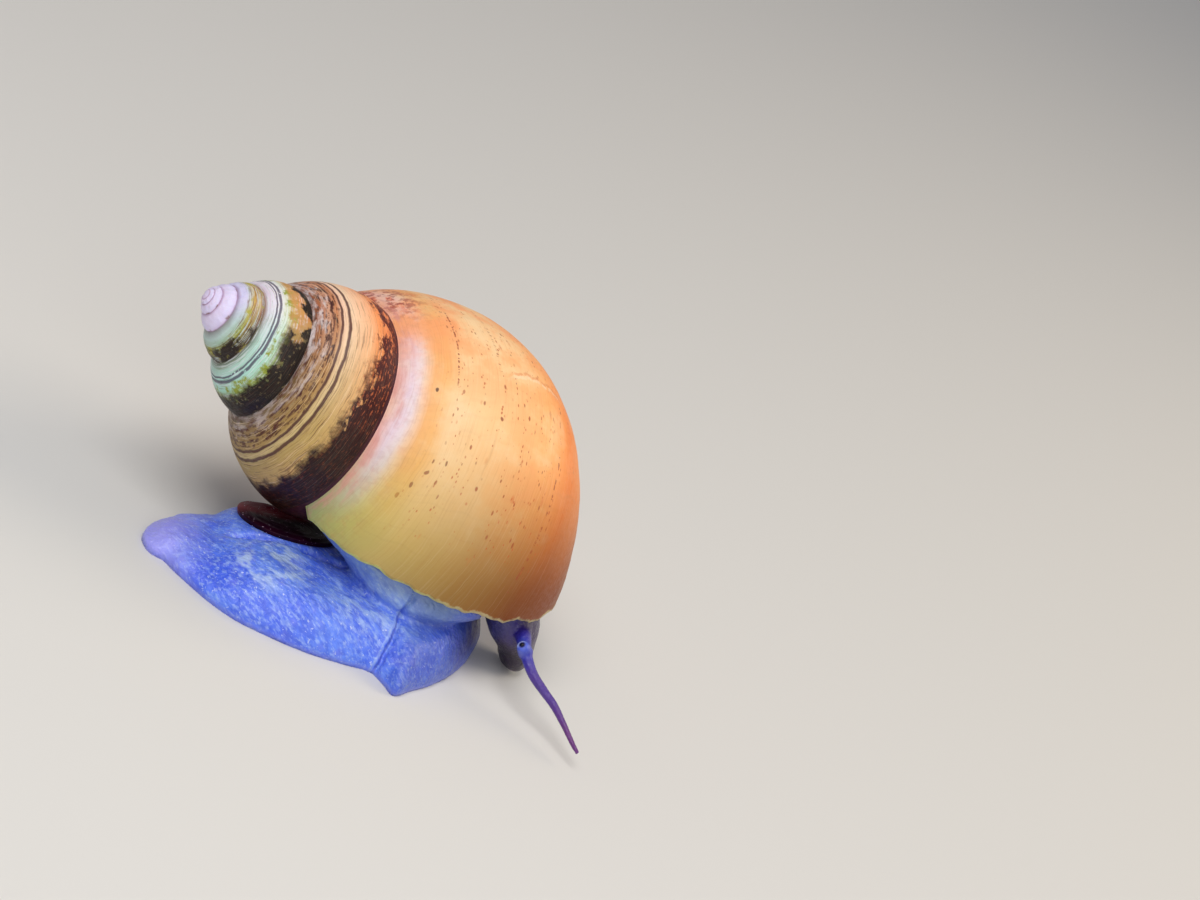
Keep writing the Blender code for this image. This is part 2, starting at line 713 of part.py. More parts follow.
clear_scene()
shell_yellow = material("shell_yellow", (0.80, 0.60, 0.30), 0.4)
shell_tan = material("shell_tan", (0.55, 0.38, 0.20), 0.45)
shell_pale = material("shell_pale", (0.72, 0.70, 0.62), 0.5)
flesh_blue = material("flesh_blue", (0.20, 0.30, 0.72), 0.4)
flesh_violet = material("flesh_violet", (0.30, 0.22, 0.60), 0.4)
lid_maroon = material("lid_maroon", (0.12, 0.02, 0.04), 0.3)
eye_black = material("eye_black", (0.01, 0.01, 0.02), 0.1)

body_whorl(shell_yellow)
spire_whorl("shell_penultimate_whorl", -1, PENULTIMATE_STEPS, shell_tan)
spire_whorl("shell_third_whorl", -2, THIRD_STEPS, shell_pale)
spire_tip(shell_pale)
foot_parts(flesh_blue)
operculum(lid_maroon)
column(flesh_blue)
neck(flesh_blue)
loft("head", head_rings(HEAD_SECTIONS), flesh_blue)
snout(flesh_violet)
tentacle("right", TENTACLE_RIGHT, flesh_violet)
tentacle("left", TENTACLE_LEFT, flesh_violet)
eye_and_stalk("right", TENTACLE_RIGHT, EYE_WAY_RIGHT, flesh_blue, eye_black)
eye_and_stalk("left", TENTACLE_LEFT, EYE_WAY_LEFT, flesh_blue, eye_black)
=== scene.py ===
"""Looks of the taia snail: a coiled shell, a horny lid, one skin of wet blue flesh, and two eyes.

The snail's head points to +X, its left is +Y, and its sole lies on the floor at z = 0.
Shapes are worked out in millimetres, and become metres as each mesh is made.
"""
import math

import bmesh
import bpy
import numpy as np
from mathutils import Matrix, Vector, noise


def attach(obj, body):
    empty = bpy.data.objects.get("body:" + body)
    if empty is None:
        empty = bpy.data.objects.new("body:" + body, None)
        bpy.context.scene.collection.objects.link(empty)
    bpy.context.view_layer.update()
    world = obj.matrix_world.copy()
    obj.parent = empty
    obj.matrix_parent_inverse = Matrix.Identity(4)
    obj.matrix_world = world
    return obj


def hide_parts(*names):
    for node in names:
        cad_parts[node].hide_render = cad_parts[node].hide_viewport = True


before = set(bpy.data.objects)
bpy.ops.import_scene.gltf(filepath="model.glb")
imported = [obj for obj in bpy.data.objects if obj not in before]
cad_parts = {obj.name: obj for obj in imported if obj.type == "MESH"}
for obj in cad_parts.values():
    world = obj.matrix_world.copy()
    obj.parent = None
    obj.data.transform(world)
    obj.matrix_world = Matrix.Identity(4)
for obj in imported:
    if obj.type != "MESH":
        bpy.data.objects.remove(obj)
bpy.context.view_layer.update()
bpy.ops.object.select_all(action="DESELECT")
MM = 0.001

# Shell
# One wall of lime under a thin horny skin, laid down by the animal in a right-handed coil. It is made as one
# strip that winds round the axis and widens. Its lower edge is the upper edge of the next turn, so that the
# whorls are one piece. The last turn opens in the aperture, with a thin lip and a wall that runs back inside.
APEX = np.array((-13.9, 3.6, 14.32))
SPIRE_AZIMUTH = math.radians(194.2)
SPIRE_ELEVATION = math.radians(19.2)
COIL_ROLL = math.radians(-42.9)
RADIAL_GROWTH = 1.644
AXIAL_GROWTH = 1.913
WHORL_HALF_WIDTH = 10.85
WHORL_HALF_HEIGHT = 11.41
WHORL_FROM_AXIS = 1.12
WHORL_BELOW_APEX = 22.5
WHORL_TILT = math.radians(19.2)
WHORL_SQUARENESS = 2.26
WHORL_EGG = 0.04
APEX_LIFT = 0.13
CORE_RADIUS = 0.6
CORE_STEPS = 6
FIRST_TURN = -6.5
HALVINGS = 36
STEPS_PER_TURN = 192
STEPS_ACROSS = 40
STEPS_BELOW = 60
COLUMN_EVENNESS = 0.4
LIP_SHARE = 0.25
LIP_HEIGHT = 4.9
LIP_RAGGEDNESS = 0.45
LIP_SEARCH_STEPS = 251
RIM_THICKNESS = 0.12
WALL_THICKNESS = 0.5
INNER_TURNS = 0.3
INNER_STEPS = 14
INNER_CROWDING = 2.2
GROWTH_RELIEF = 0.03
WEAR_RELIEF = 0.05
WORN_FROM = -1.9
# Noise: how close together down the whorl, its row, and its share.
LIP_CHIPS = ((11, 1.5, 1.0), (29, 4.5, 0.5))
# Noise: how close together along and down the whorl, its row, and its share.
GROWTH_MARKS = ((34, 0.8, 3.0, 1.0), (90, 1.0, 7.0, 0.6))


def clamp(value):
    """The value, held between 0 and 1."""
    return min(max(value, 0.0), 1.0)


def coil_axes():
    """The coil's own axes in the world. The third runs up to the apex."""
    up = Vector((math.cos(SPIRE_ELEVATION) * math.cos(SPIRE_AZIMUTH),
                 math.cos(SPIRE_ELEVATION) * math.sin(SPIRE_AZIMUTH),
                 math.sin(SPIRE_ELEVATION)))
    level = Vector((-math.sin(SPIRE_AZIMUTH), math.cos(SPIRE_AZIMUTH), 0.0))
    out = math.cos(COIL_ROLL) * level + math.sin(COIL_ROLL) * up.cross(level)
    return np.array((out, up.cross(out), up))


COIL_AXES = coil_axes()


def bulge(value, power):
    """A sine or cosine raised to a power, with its sign kept."""
    return np.sign(value) * np.abs(value) ** power


def whorl_outline(turn, angle, swell=0.0):
    """Distance from the axis and height of a whorl's outside, at a turn counted back from the lip."""
    sine = bulge(np.sin(angle), 2 / WHORL_SQUARENESS)
    cosine = bulge(np.cos(angle), 2 / WHORL_SQUARENESS)
    across = (WHORL_HALF_WIDTH + swell / RADIAL_GROWTH ** turn) * cosine * (1 + WHORL_EGG * sine)
    along = (WHORL_HALF_HEIGHT + swell / AXIAL_GROWTH ** turn) * sine
    out = WHORL_FROM_AXIS + across * math.cos(WHORL_TILT) - along * math.sin(WHORL_TILT)
    down = -WHORL_BELOW_APEX + across * math.sin(WHORL_TILT) + along * math.cos(WHORL_TILT)
    return RADIAL_GROWTH ** turn * out, AXIAL_GROWTH ** turn * down + APEX_LIFT


def outline_place(turn, out, height):
    """Where a point lies against the whorl's outline: its level, negative inside, and its angle."""
    r = out / RADIAL_GROWTH ** turn - WHORL_FROM_AXIS
    z = (height - APEX_LIFT) / AXIAL_GROWTH ** turn + WHORL_BELOW_APEX
    sine = (z * math.cos(WHORL_TILT) - r * math.sin(WHORL_TILT)) / WHORL_HALF_HEIGHT
    cosine = (r * math.cos(WHORL_TILT) + z * math.sin(WHORL_TILT)) / WHORL_HALF_WIDTH / (1 + WHORL_EGG * sine)
    level = np.abs(cosine) ** WHORL_SQUARENESS + np.abs(sine) ** WHORL_SQUARENESS - 1
    return level, np.arctan2(bulge(sine, WHORL_SQUARENESS / 2), bulge(cosine, WHORL_SQUARENESS / 2))


def crossing(test, high, low):
    """The angles at which the test goes through zero, above it at the first angle and below at the second."""
    for _ in range(HALVINGS):
        middle = (low + high) / 2
        above = test(middle) > 0
        high, low = np.where(above, middle, high), np.where(above, low, middle)
    return (low + high) / 2


def upper_suture(turn, swell=0.0):
    """The angle at which a whorl meets the one before it."""
    start = np.zeros_like(turn)
    return crossing(lambda a: outline_place(turn - 1, *whorl_outline(turn, a, swell))[0],
                    start, start + math.radians(100))


def lower_suture(turn):
    """The angle at which the next whorl meets this one."""
    return outline_place(turn, *whorl_outline(turn + 1, upper_suture(turn + 1)))[1]


def base_angle(turn, swell=0.0):
    """The angle at which the underside of a whorl reaches the core."""
    start = np.zeros_like(turn)
    return crossing(lambda a: whorl_outline(turn, a, swell)[0] - CORE_RADIUS,
                    start + math.radians(-90), start - math.pi)


def in_world(turn, out, height):
    """Points of the coil in the world."""
    angle = -2 * math.pi * turn
    local = np.stack([out * np.cos(angle), out * np.sin(angle), height], axis=-1)
    return APEX + local @ COIL_AXES


def wall_angle(turn, column, swell=0.0):
    """The angle of a line down the whorl. Its column is 0 and 1 at the sutures, and 2 at the core."""
    top = upper_suture(turn, swell)
    low = lower_suture(turn)
    base = base_angle(turn, swell)
    return np.where(column <= 1, top + (low - top) * column, low + (base - low) * (column - 1))


def wall_points(turn, column, swell=0.0):
    """Points of the shell's wall in the world."""
    return in_world(turn, *whorl_outline(turn, wall_angle(turn, column, swell), swell))


def girdle_marks(turn, column):
    """How far down each point lies, 0 at the upper suture and 1 at the lower one or where it would be."""
    top = upper_suture(turn)
    low = lower_suture(turn)
    return (wall_angle(turn, column) - top) / (low - top)


def wall_columns():
    """The lines down the last whorl, closer together near the sutures."""
    even = np.linspace(0.0, 1.0, STEPS_ACROSS + 1)
    crowded = 0.5 - 0.5 * np.cos(math.pi * even)
    across = COLUMN_EVENNESS * even + (1 - COLUMN_EVENNESS) * crowded
    return np.concatenate([across, 1 + np.linspace(0.0, 1.0, STEPS_BELOW + 1)[1:]])


def lip_turns(columns):
    """The turn at which each line of the last whorl ends, at the lip's level along a slightly ragged edge."""
    turns = np.linspace(-LIP_SHARE, 0.0, LIP_SEARCH_STEPS)
    heights = wall_points(*np.meshgrid(turns, columns))[..., 2]
    ends = np.zeros_like(columns)
    for j, column in enumerate(columns):
        chips = sum(share * abs(noise.noise(Vector((column * close, row, 0.0))))
                    for close, row, share in LIP_CHIPS)
        over = heights[j] - LIP_HEIGHT - LIP_RAGGEDNESS * chips * min(column * 6, 1)
        below = np.nonzero(over <= 0)[0]
        if len(below) and below[0]:
            k = below[0]
            ends[j] = turns[k - 1] + (turns[k] - turns[k - 1]) * over[k - 1] / (over[k - 1] - over[k])
    return ends


def relief(turn, column, place):
    """How far the outside stands proud: growth marks across the whorls, and wear on the oldest ones."""
    growth = sum(share * noise.noise(Vector((turn * along, column * down, row)))
                 for along, down, row, share in GROWTH_MARKS)
    worn = clamp((WORN_FROM - turn) / 1.2)
    pits = noise.fractal(Vector(place) * 1.7, 1.0, 2.0, 3)
    return GROWTH_RELIEF * (growth - 0.5) * RADIAL_GROWTH ** (turn * 0.5) - WEAR_RELIEF * worn * abs(pits)


COLUMNS = wall_columns()
LIP_TURNS = lip_turns(COLUMNS)


def aperture_ring(depth, swell):
    """A ring round the inside of the last whorl, at a depth from the lip: outer wall, core, inner wall."""
    turns = LIP_TURNS + (-INNER_TURNS - LIP_TURNS) * depth
    outer = wall_points(turns, COLUMNS, swell)
    old = np.array([-1 - INNER_TURNS * depth])
    top = upper_suture(old + 1, swell)
    old_top = outline_place(old, *whorl_outline(old + 1, top, swell))[1]
    shares = COLUMNS[STEPS_ACROSS + 1:][::-1] - 1
    inner = in_world(old, *whorl_outline(old, old_top + (base_angle(old) - old_top) * shares))
    core = outer[-1] + (inner[0] - outer[-1]) * np.linspace(0, 1, CORE_STEPS + 1)[1:-1, None]
    return np.concatenate([outer, core, inner])


def shell_mesh():
    """The closed mesh of the shell, with a UV map of turn and girdle, and one of age and girdle."""
    rows = round(-FIRST_TURN * STEPS_PER_TURN)
    last = rows - STEPS_PER_TURN
    count = len(COLUMNS)
    turns = np.repeat(np.linspace(FIRST_TURN, 0, rows + 1)[:, None], count, axis=1)
    near_lip = np.maximum(1 + turns / LIP_SHARE, 0)
    turns = np.where(near_lip > 0, -LIP_SHARE + (LIP_TURNS + LIP_SHARE) * near_lip, turns)
    points = wall_points(turns, COLUMNS)
    marks = np.stack([turns, girdle_marks(turns, COLUMNS), turns - LIP_TURNS], axis=-1)
    work = bmesh.new()
    coil = work.loops.layers.uv.new("coil")
    growth = work.loops.layers.uv.new("growth")
    index = [[None] * count for _ in range(rows + 1)]
    places = [(k, j) for k in range(rows + 1) for j in range(count if k >= last else STEPS_ACROSS)
              if j != STEPS_ACROSS or k > last]
    for k, j in places:
        index[k][j] = work.verts.new(points[k, j])
    for k in range(last + 1):
        index[k][STEPS_ACROSS] = index[k + STEPS_PER_TURN][0]

    def add_face(corners):
        """Add a face through corners, each a point of the mesh and its mark for the UV maps."""
        face = work.faces.new([vert for vert, _ in corners])
        for loop, (_, mark) in zip(face.loops, corners):
            loop[coil].uv = (mark[0], mark[1])
            loop[growth].uv = (mark[2], mark[1])

    def at(k, j):
        """The corner in a row and a column of the strip."""
        return index[k][j], marks[k, j]

    for k in range(rows):
        for j in range(count - 1 if k >= last else STEPS_ACROSS):
            add_face([at(k, j), at(k, j + 1), at(k + 1, j + 1), at(k + 1, j)])

    tip = (work.verts.new(APEX), (FIRST_TURN - 1, 0.5, FIRST_TURN - 1))
    for k in range(STEPS_PER_TURN):
        add_face([tip, at(k, 0), at(k + 1, 0)])
    for j in range(STEPS_ACROSS):
        add_face([tip, at(0, j + 1), at(0, j)])

    inside = (2.0, 0.5, 2.0)
    rim = aperture_ring(0.0, 0.0)
    core = [work.verts.new(point) for point in rim[count:count + CORE_STEPS - 1]]
    middle = rim[count:count + CORE_STEPS - 1].mean(axis=0)
    bottom = (work.verts.new(APEX + ((middle - APEX) @ COIL_AXES[2]) * COIL_AXES[2]), inside)
    for k in range(last, rows):
        add_face([bottom, at(k + 1, count - 1), at(k, count - 1)])
    line = [index[rows][-1], *core, index[last][-1]]
    for a, b in zip(line, line[1:]):
        add_face([bottom, (b, inside), (a, inside)])

    ring = index[rows] + core + index[last][:STEPS_ACROSS:-1]
    for m in range(1, INNER_STEPS + 1):
        depth = (m / INNER_STEPS) ** INNER_CROWDING
        swell = -RIM_THICKNESS - (WALL_THICKNESS - RIM_THICKNESS) * min(depth * 6, 1)
        inner = [work.verts.new(point) for point in aperture_ring(depth, swell)]
        mark = (1.0 + depth, 0.5, 1.0)
        for i in range(len(ring)):
            j = (i + 1) % len(ring)
            add_face([(ring[i], mark), (ring[j], mark), (inner[j], mark), (inner[i], mark)])
        ring = inner
    add_face([(vert, inside) for vert in ring])

    bmesh.ops.recalc_face_normals(work, faces=work.faces)
    if work.calc_volume(signed=True) < 0:
        bmesh.ops.reverse_faces(work, faces=work.faces)
    work.normal_update()
    for k, j in places:
        vert = index[k][j]
        vert.co += vert.normal * relief(marks[k, j, 0], COLUMNS[j], vert.co)
    bmesh.ops.scale(work, vec=(MM, MM, MM), verts=work.verts)
    mesh = bpy.data.meshes.new("shell")
    work.to_mesh(mesh)
    work.free()
    mesh.shade_smooth()
    return mesh


def is_link(value):
    """Whether a value is a socket of a node, which goes on to feed another."""
    return isinstance(value, bpy.types.NodeSocket)


def paint(colour):
    """A colour for a shader: a link as it is, or red, green and blue on a scale of 0 to 255."""
    if is_link(colour):
        return colour
    return (*(((c / 255 + 0.055) / 1.055) ** 2.4 if c > 10 else c / 255 / 12.92 for c in colour), 1.0)


def feed(node, inputs):
    """Link or set the inputs of a node."""
    for key, value in inputs.items():
        if is_link(value):
            value.id_data.links.new(value, node.inputs[key])
        else:
            node.inputs[key].default_value = value


def put(kind, inputs, tree=None, **settings):
    """Add a shader node with its settings and inputs, to the tree of the links that feed it."""
    if tree is None:
        tree = next(value for value in inputs.values() if is_link(value)).id_data
    made = tree.nodes.new("ShaderNode" + kind)
    for name, value in settings.items():
        setattr(made, name, value)
    feed(made, inputs)
    return made


def calc(operation, first, second=0.0, third=0.0):
    """One step of arithmetic."""
    return put("Math", {0: first, 1: second, 2: third}, operation=operation).outputs[0]


def times(first, second):
    """One value times another."""
    return calc("MULTIPLY", first, second)


def scaled(value, factor, base):
    """A value times a factor, on top of a base."""
    return calc("MULTIPLY_ADD", value, factor, base)


def shaken(value, clouds, reach):
    """A value moved to and fro by clouds, which lie round a half."""
    return scaled(calc("SUBTRACT", clouds, 0.5), reach, value)


def fade(value, start, end, low=0.0, high=1.0):
    """A smooth step from low to high as the value goes from start to end."""
    ends = {"From Min": start, "From Max": end, "To Min": low, "To Max": high}
    return put("MapRange", {"Value": value, **ends}, interpolation_type="SMOOTHSTEP").outputs[0]


def clouds_at(place, scale, detail, roughness=0.5):
    """Soft noise, from 0 to 1."""
    inputs = {"Vector": place, "Scale": scale, "Detail": detail, "Roughness": roughness}
    return put("TexNoise", inputs).outputs[0]


def parts(place):
    """The three parts of a vector."""
    return put("SeparateXYZ", {0: place}).outputs


def distance(place, point):
    """How far each place is from a point."""
    return put("VectorMath", {0: place, 1: tuple(point)}, operation="DISTANCE").outputs[1]


def blend(share, first, second):
    """The first colour covered by the second to a share."""
    return put("Mix", {0: share, 6: paint(first), 7: paint(second)}, data_type="RGBA").outputs[2]


def cover(colour, share, mask, over):
    """A colour laid over another where a mask is, to a share."""
    return blend(times(mask, share), colour, over)


def grade(value, stops):
    """Colours along a value: each stop is a place and the red, green and blue that it has there."""
    end = stops[-1][0]
    made = put("ValToRGB", {0: put("MapRange", {"Value": value, "From Max": end}).outputs[0]})
    ramp = made.color_ramp
    ramp.elements.remove(ramp.elements[-1])
    for i, (place, *colour) in enumerate(stops):
        stop = ramp.elements[0] if i == 0 else ramp.elements.new(place / end)
        stop.position = place / end
        stop.color = paint(colour)
    return made.outputs[0]


def group(name, inputs):
    """A new shader node group with its inputs, and one mask that it puts out."""
    made = bpy.data.node_groups.new(name, "ShaderNodeTree")
    for label, value in inputs.items():
        kind = "NodeSocketVector" if isinstance(value, tuple) else "NodeSocketFloat"
        made.interface.new_socket(label, in_out="INPUT", socket_type=kind).default_value = value
    made.interface.new_socket("Mask", in_out="OUTPUT", socket_type="NodeSocketFloat")
    return made, made.nodes.new("NodeGroupInput").outputs, made.nodes.new("NodeGroupOutput")


def mask_of(effect, *values):
    """The mask that a node group puts out. The values feed its inputs in order."""
    return put("Group", dict(enumerate(values)), node_tree=effect).outputs[0]


def band_group():
    """A mask that is 1 between two values, with soft edges."""
    made, given, result = group("Band", {"Value": 0.0, "Low": 0.0, "High": 1.0, "Soft": 0.02})
    rise = fade(given["Value"], calc("SUBTRACT", given["Low"], given["Soft"]), given["Low"])
    fall = fade(given["Value"], given["High"], calc("ADD", given["High"], given["Soft"]), 1.0, 0.0)
    feed(result, {0: times(rise, fall)})
    return made


def speckle_group():
    """A mask of spots and blotches: the share of the surface that they cover grows with the cover."""
    made, given, result = group("Speckle", {
        "Place": (0.0, 0.0, 0.0), "Scale": 1.0, "Detail": 3.0, "Cover": 0.5, "Soft": 0.05})
    clouds = clouds_at(given["Place"], given["Scale"], given["Detail"], 0.6)
    edge = scaled(given["Cover"], -0.5, 0.75)
    low = calc("SUBTRACT", edge, given["Soft"])
    feed(result, {0: fade(clouds, low, calc("ADD", edge, given["Soft"]))})
    return made


def line_group():
    """A mask of one wavering line where the value passes its middle, with breaks."""
    made, given, result = group("Line", {
        "Value": 0.0, "Place": (0.0, 0.0, 0.0), "Middle": 0.5, "Half Width": 0.02, "Waver": 0.01,
        "Breaks": 0.0})
    moved = shaken(given["Value"], clouds_at(given["Place"], 1.0, 3.0), given["Waver"])
    away = calc("ABSOLUTE", calc("SUBTRACT", moved, given["Middle"]))
    inside = fade(calc("DIVIDE", away, given["Half Width"]), 0.5, 1.3, 1.0, 0.0)
    whole = fade(calc("SUBTRACT", clouds_at(given["Place"], 2.3, 2.0), given["Breaks"]), 0.0, 0.12)
    feed(result, {0: times(inside, whole)})
    return made


def dots_group():
    """A mask of scattered round dots of several sizes, on a share of the places where there could be one."""
    made, given, result = group("Dots", {"Place": (0.0, 0.0, 0.0), "Share": 0.2})
    cells = put("TexVoronoi", {"Vector": given["Place"], "Scale": 1.0, "Randomness": 0.9}).outputs
    chance = parts(cells["Color"])
    reach = scaled(chance[1], 0.22, 0.12)
    spot = fade(calc("DIVIDE", cells["Distance"], reach), 0.6, 1.2, 1.0, 0.0)
    feed(result, {0: times(spot, calc("LESS_THAN", chance[0], given["Share"]))})
    return made


BAND = band_group()
SPECKLE = speckle_group()
LINE = line_group()
DOTS = dots_group()


def winding(turn, level, across, down, row=0.0):
    """A place for noise that follows the coil: turn and girdle, each with a scale, and a row of its own."""
    return put("CombineXYZ", {0: times(turn, across), 1: scaled(level, down, row)}).outputs[0]


def new_surface(name):
    """A new material, and the place of each point on it in millimetres."""
    surface = bpy.data.materials.new(name)
    surface.use_nodes = True
    own_axes = put("TexCoord", {}, surface.node_tree).outputs["Object"]
    return surface, put("Mapping", {0: own_axes, "Scale": (1 / MM,) * 3}).outputs[0]


def finish_surface(surface, inputs):
    """Feed the main shader of a material."""
    feed(surface.node_tree.nodes["Principled BSDF"], inputs)
    return surface


def body_colour(turn, level, age, place):
    """The last whorl: a pale band at the suture, cream, an orange shoulder below, and olive near the lip,
    which lower down turns brown, partly its own colour and partly painted shade.
    """
    colour = grade(level, (
        (0.0, 232, 172, 160), (0.05, 240, 200, 200), (0.1, 238, 216, 228), (0.15, 242, 222, 224),
        (0.19, 248, 208, 176), (0.24, 248, 184, 118), (0.31, 250, 186, 112), (0.4, 252, 204, 148),
        (0.55, 252, 206, 150), (0.8, 252, 192, 128), (1.0, 255, 178, 100), (1.14, 255, 156, 70),
        (1.26, 250, 128, 30), (1.42, 255, 148, 66), (1.75, 240, 160, 108), (2.4, 228, 178, 142)))
    shade = clouds_at(place, 0.3, 5.0, 0.6)
    rosy = calc("MAXIMUM", fade(turn, -0.22, -0.36, 0.0, 0.95), fade(level, 0.5, 0.9, 0.0, 0.6))
    colour = blend(times(fade(shade, 0.36, 0.62), rosy), colour, (255, 170, 112))
    colour = blend(fade(shade, 0.52, 0.3, 0.0, 0.35), colour, (255, 226, 184))
    # Near the lip: olive, its own colour, above. Lower down it turns to dark brown, partly its own colour and
    # partly painted shade.
    olive_and_painted_shade = grade(level, (
        (0.0, 168, 178, 116), (0.2, 196, 190, 104), (0.45, 204, 176, 100), (0.8, 160, 120, 58),
        (1.2, 128, 68, 18), (1.5, 130, 62, 20), (2.4, 150, 90, 50)))
    return blend(fade(age, -0.18, -0.01), colour, olive_and_painted_shade)


# Each row below is one kind of mark on the last whorl.
# Blotches: scale, cover, colour. Dots: scale along and down the whorl, row of noise, share, strength, colour.
BLOTCHES = ((1.0, 0.36, (232, 116, 70)), (1.9, 0.42, (164, 66, 56)))
DOT_ROWS = (
    (170, 62, 3.0, 0.6, 0.8, (196, 92, 46)), (104, 42, 8.0, 0.34, 0.8, (164, 76, 42)),
    (62, 24, 13.0, 0.2, 0.5, (214, 120, 66)),
)
# Chains of dashes: how far down, first and last turn, half width, breaks, strength.
CHAINS = (
    (0.383, -0.37, -0.27, 0.0055, 0.43, 0.9), (0.62, -0.4, -0.31, 0.006, 0.5, 0.7),
    (1.1, -0.27, -0.13, 0.007, 0.5, 0.7),
)
# Large spots: turn, how far down, size, colour.
SPOTS = (
    (-0.249, 0.29, 0.009, (60, 26, 20)), (-0.177, 0.346, 0.008, (158, 100, 60)),
    (-0.164, 0.355, 0.01, (158, 102, 64)), (-0.144, 0.342, 0.011, (158, 104, 62)),
    (-0.126, 0.31, 0.011, (190, 136, 70)), (-0.183, 0.449, 0.009, (148, 90, 58)),
    (-0.252, 0.626, 0.007, (150, 74, 54)),
)
TURN_LENGTH = 3.4
# The healed scar: its two lines by turn, colour and strength, and how far down it lies furthest back.
SCAR_LINES = ((-0.3255, (224, 120, 62), 0.45), (-0.3215, (255, 228, 196), 0.4))
SCAR_GIRDLE = 1.04


def body_marks(colour, turn, girdle, level, age, place):
    """Blotches at the suture, dots in rows, chains of dashes, a few large spots, and a healed scar."""
    newest = fade(turn, -0.86, -0.55)
    early = times(fade(turn, -0.33, -0.42), newest)
    colour = blend(times(fade(girdle, 0.3, 0.1), fade(early, 0.0, 1.0, 0.0, 0.6)), colour, (255, 190, 150))
    upper = times(fade(girdle, 0.4, 0.14), fade(early, 0.0, 1.0, 0.1, 0.85))
    for scale, share, tone in BLOTCHES:
        blotch = mask_of(SPECKLE, place, scale, 6.0, share, 0.06)
        colour = cover(colour, times(upper, newest), blotch, tone)
    blush = mask_of(SPECKLE, winding(turn, level, 20, 16, 61.0), 1.0, 5.0, 0.4, 0.1)
    colour = cover(colour, times(fade(girdle, 0.13, 0.07), 0.6), blush, (224, 152, 142))

    rows = clouds_at(winding(turn, level, 3, 26, 50.0), 1.0, 1.0)
    field = times(fade(rows, 0.42, 0.56), mask_of(BAND, girdle, 0.36, 1.25, 0.08))
    field = times(field, times(newest, fade(age, -0.07, -0.03, 1.0, 0.0)))
    for across, down, row, share, strength, tone in DOT_ROWS:
        dots = mask_of(DOTS, winding(turn, level, across, down, row), share)
        colour = cover(colour, times(field, strength), dots, tone)
    for middle, first, last, half, breaks, strength in CHAINS:
        chain = mask_of(LINE, girdle, winding(turn, girdle, 150, 4, middle * 50), middle, half, 0.012, breaks)
        reach = mask_of(BAND, turn, first, last, 0.01)
        colour = cover(colour, times(reach, strength), chain, (160, 70, 44))

    bent = scaled(level, 4.0, times(girdle, -3.0))
    flat = put("CombineXYZ", {0: times(turn, TURN_LENGTH), 1: bent}).outputs[0]
    for at, down, size, tone in SPOTS:
        away = distance(flat, (at * TURN_LENGTH, down, 0.0))
        colour = blend(fade(away, size * 1.3, size * 0.7, 0.0, 0.85), colour, tone)
    bow = calc("POWER", calc("ABSOLUTE", calc("SUBTRACT", girdle, SCAR_GIRDLE)), 2.0)
    scar = calc("ADD", turn, times(bow, -0.16))
    along = mask_of(BAND, girdle, 0.74, 1.1, 0.1)
    for middle, tone, strength in SCAR_LINES:
        line = mask_of(LINE, scar, winding(turn, girdle, 30, 12, 70.0), middle, 0.0022, 0.016, 0.36)
        colour = cover(colour, times(along, strength), line, tone)
    return colour


# Streaks on the older whorls: scale along and down them, row of noise, cover, strength, colour.
# Stripes on the older whorls: how far down, half width, and on this one breaks and strength.
PENULTIMATE_STREAKS = (
    (12, 62, 6.0, 0.28, 0.75, (98, 58, 38)), (24, 110, 26.0, 0.34, 0.5, (136, 86, 52)),
    (9, 80, 36.0, 0.26, 0.5, (255, 228, 186)),
)
PENULTIMATE_STRIPES = (
    (0.12, 0.01, 0.48, 0.7), (0.18, 0.008, 0.45, 0.7), (0.24, 0.012, 0.4, 0.75),
    (0.285, 0.008, 0.42, 0.7), (0.337, 0.015, 0.22, 0.9), (0.42, 0.018, 0.22, 0.9),
)


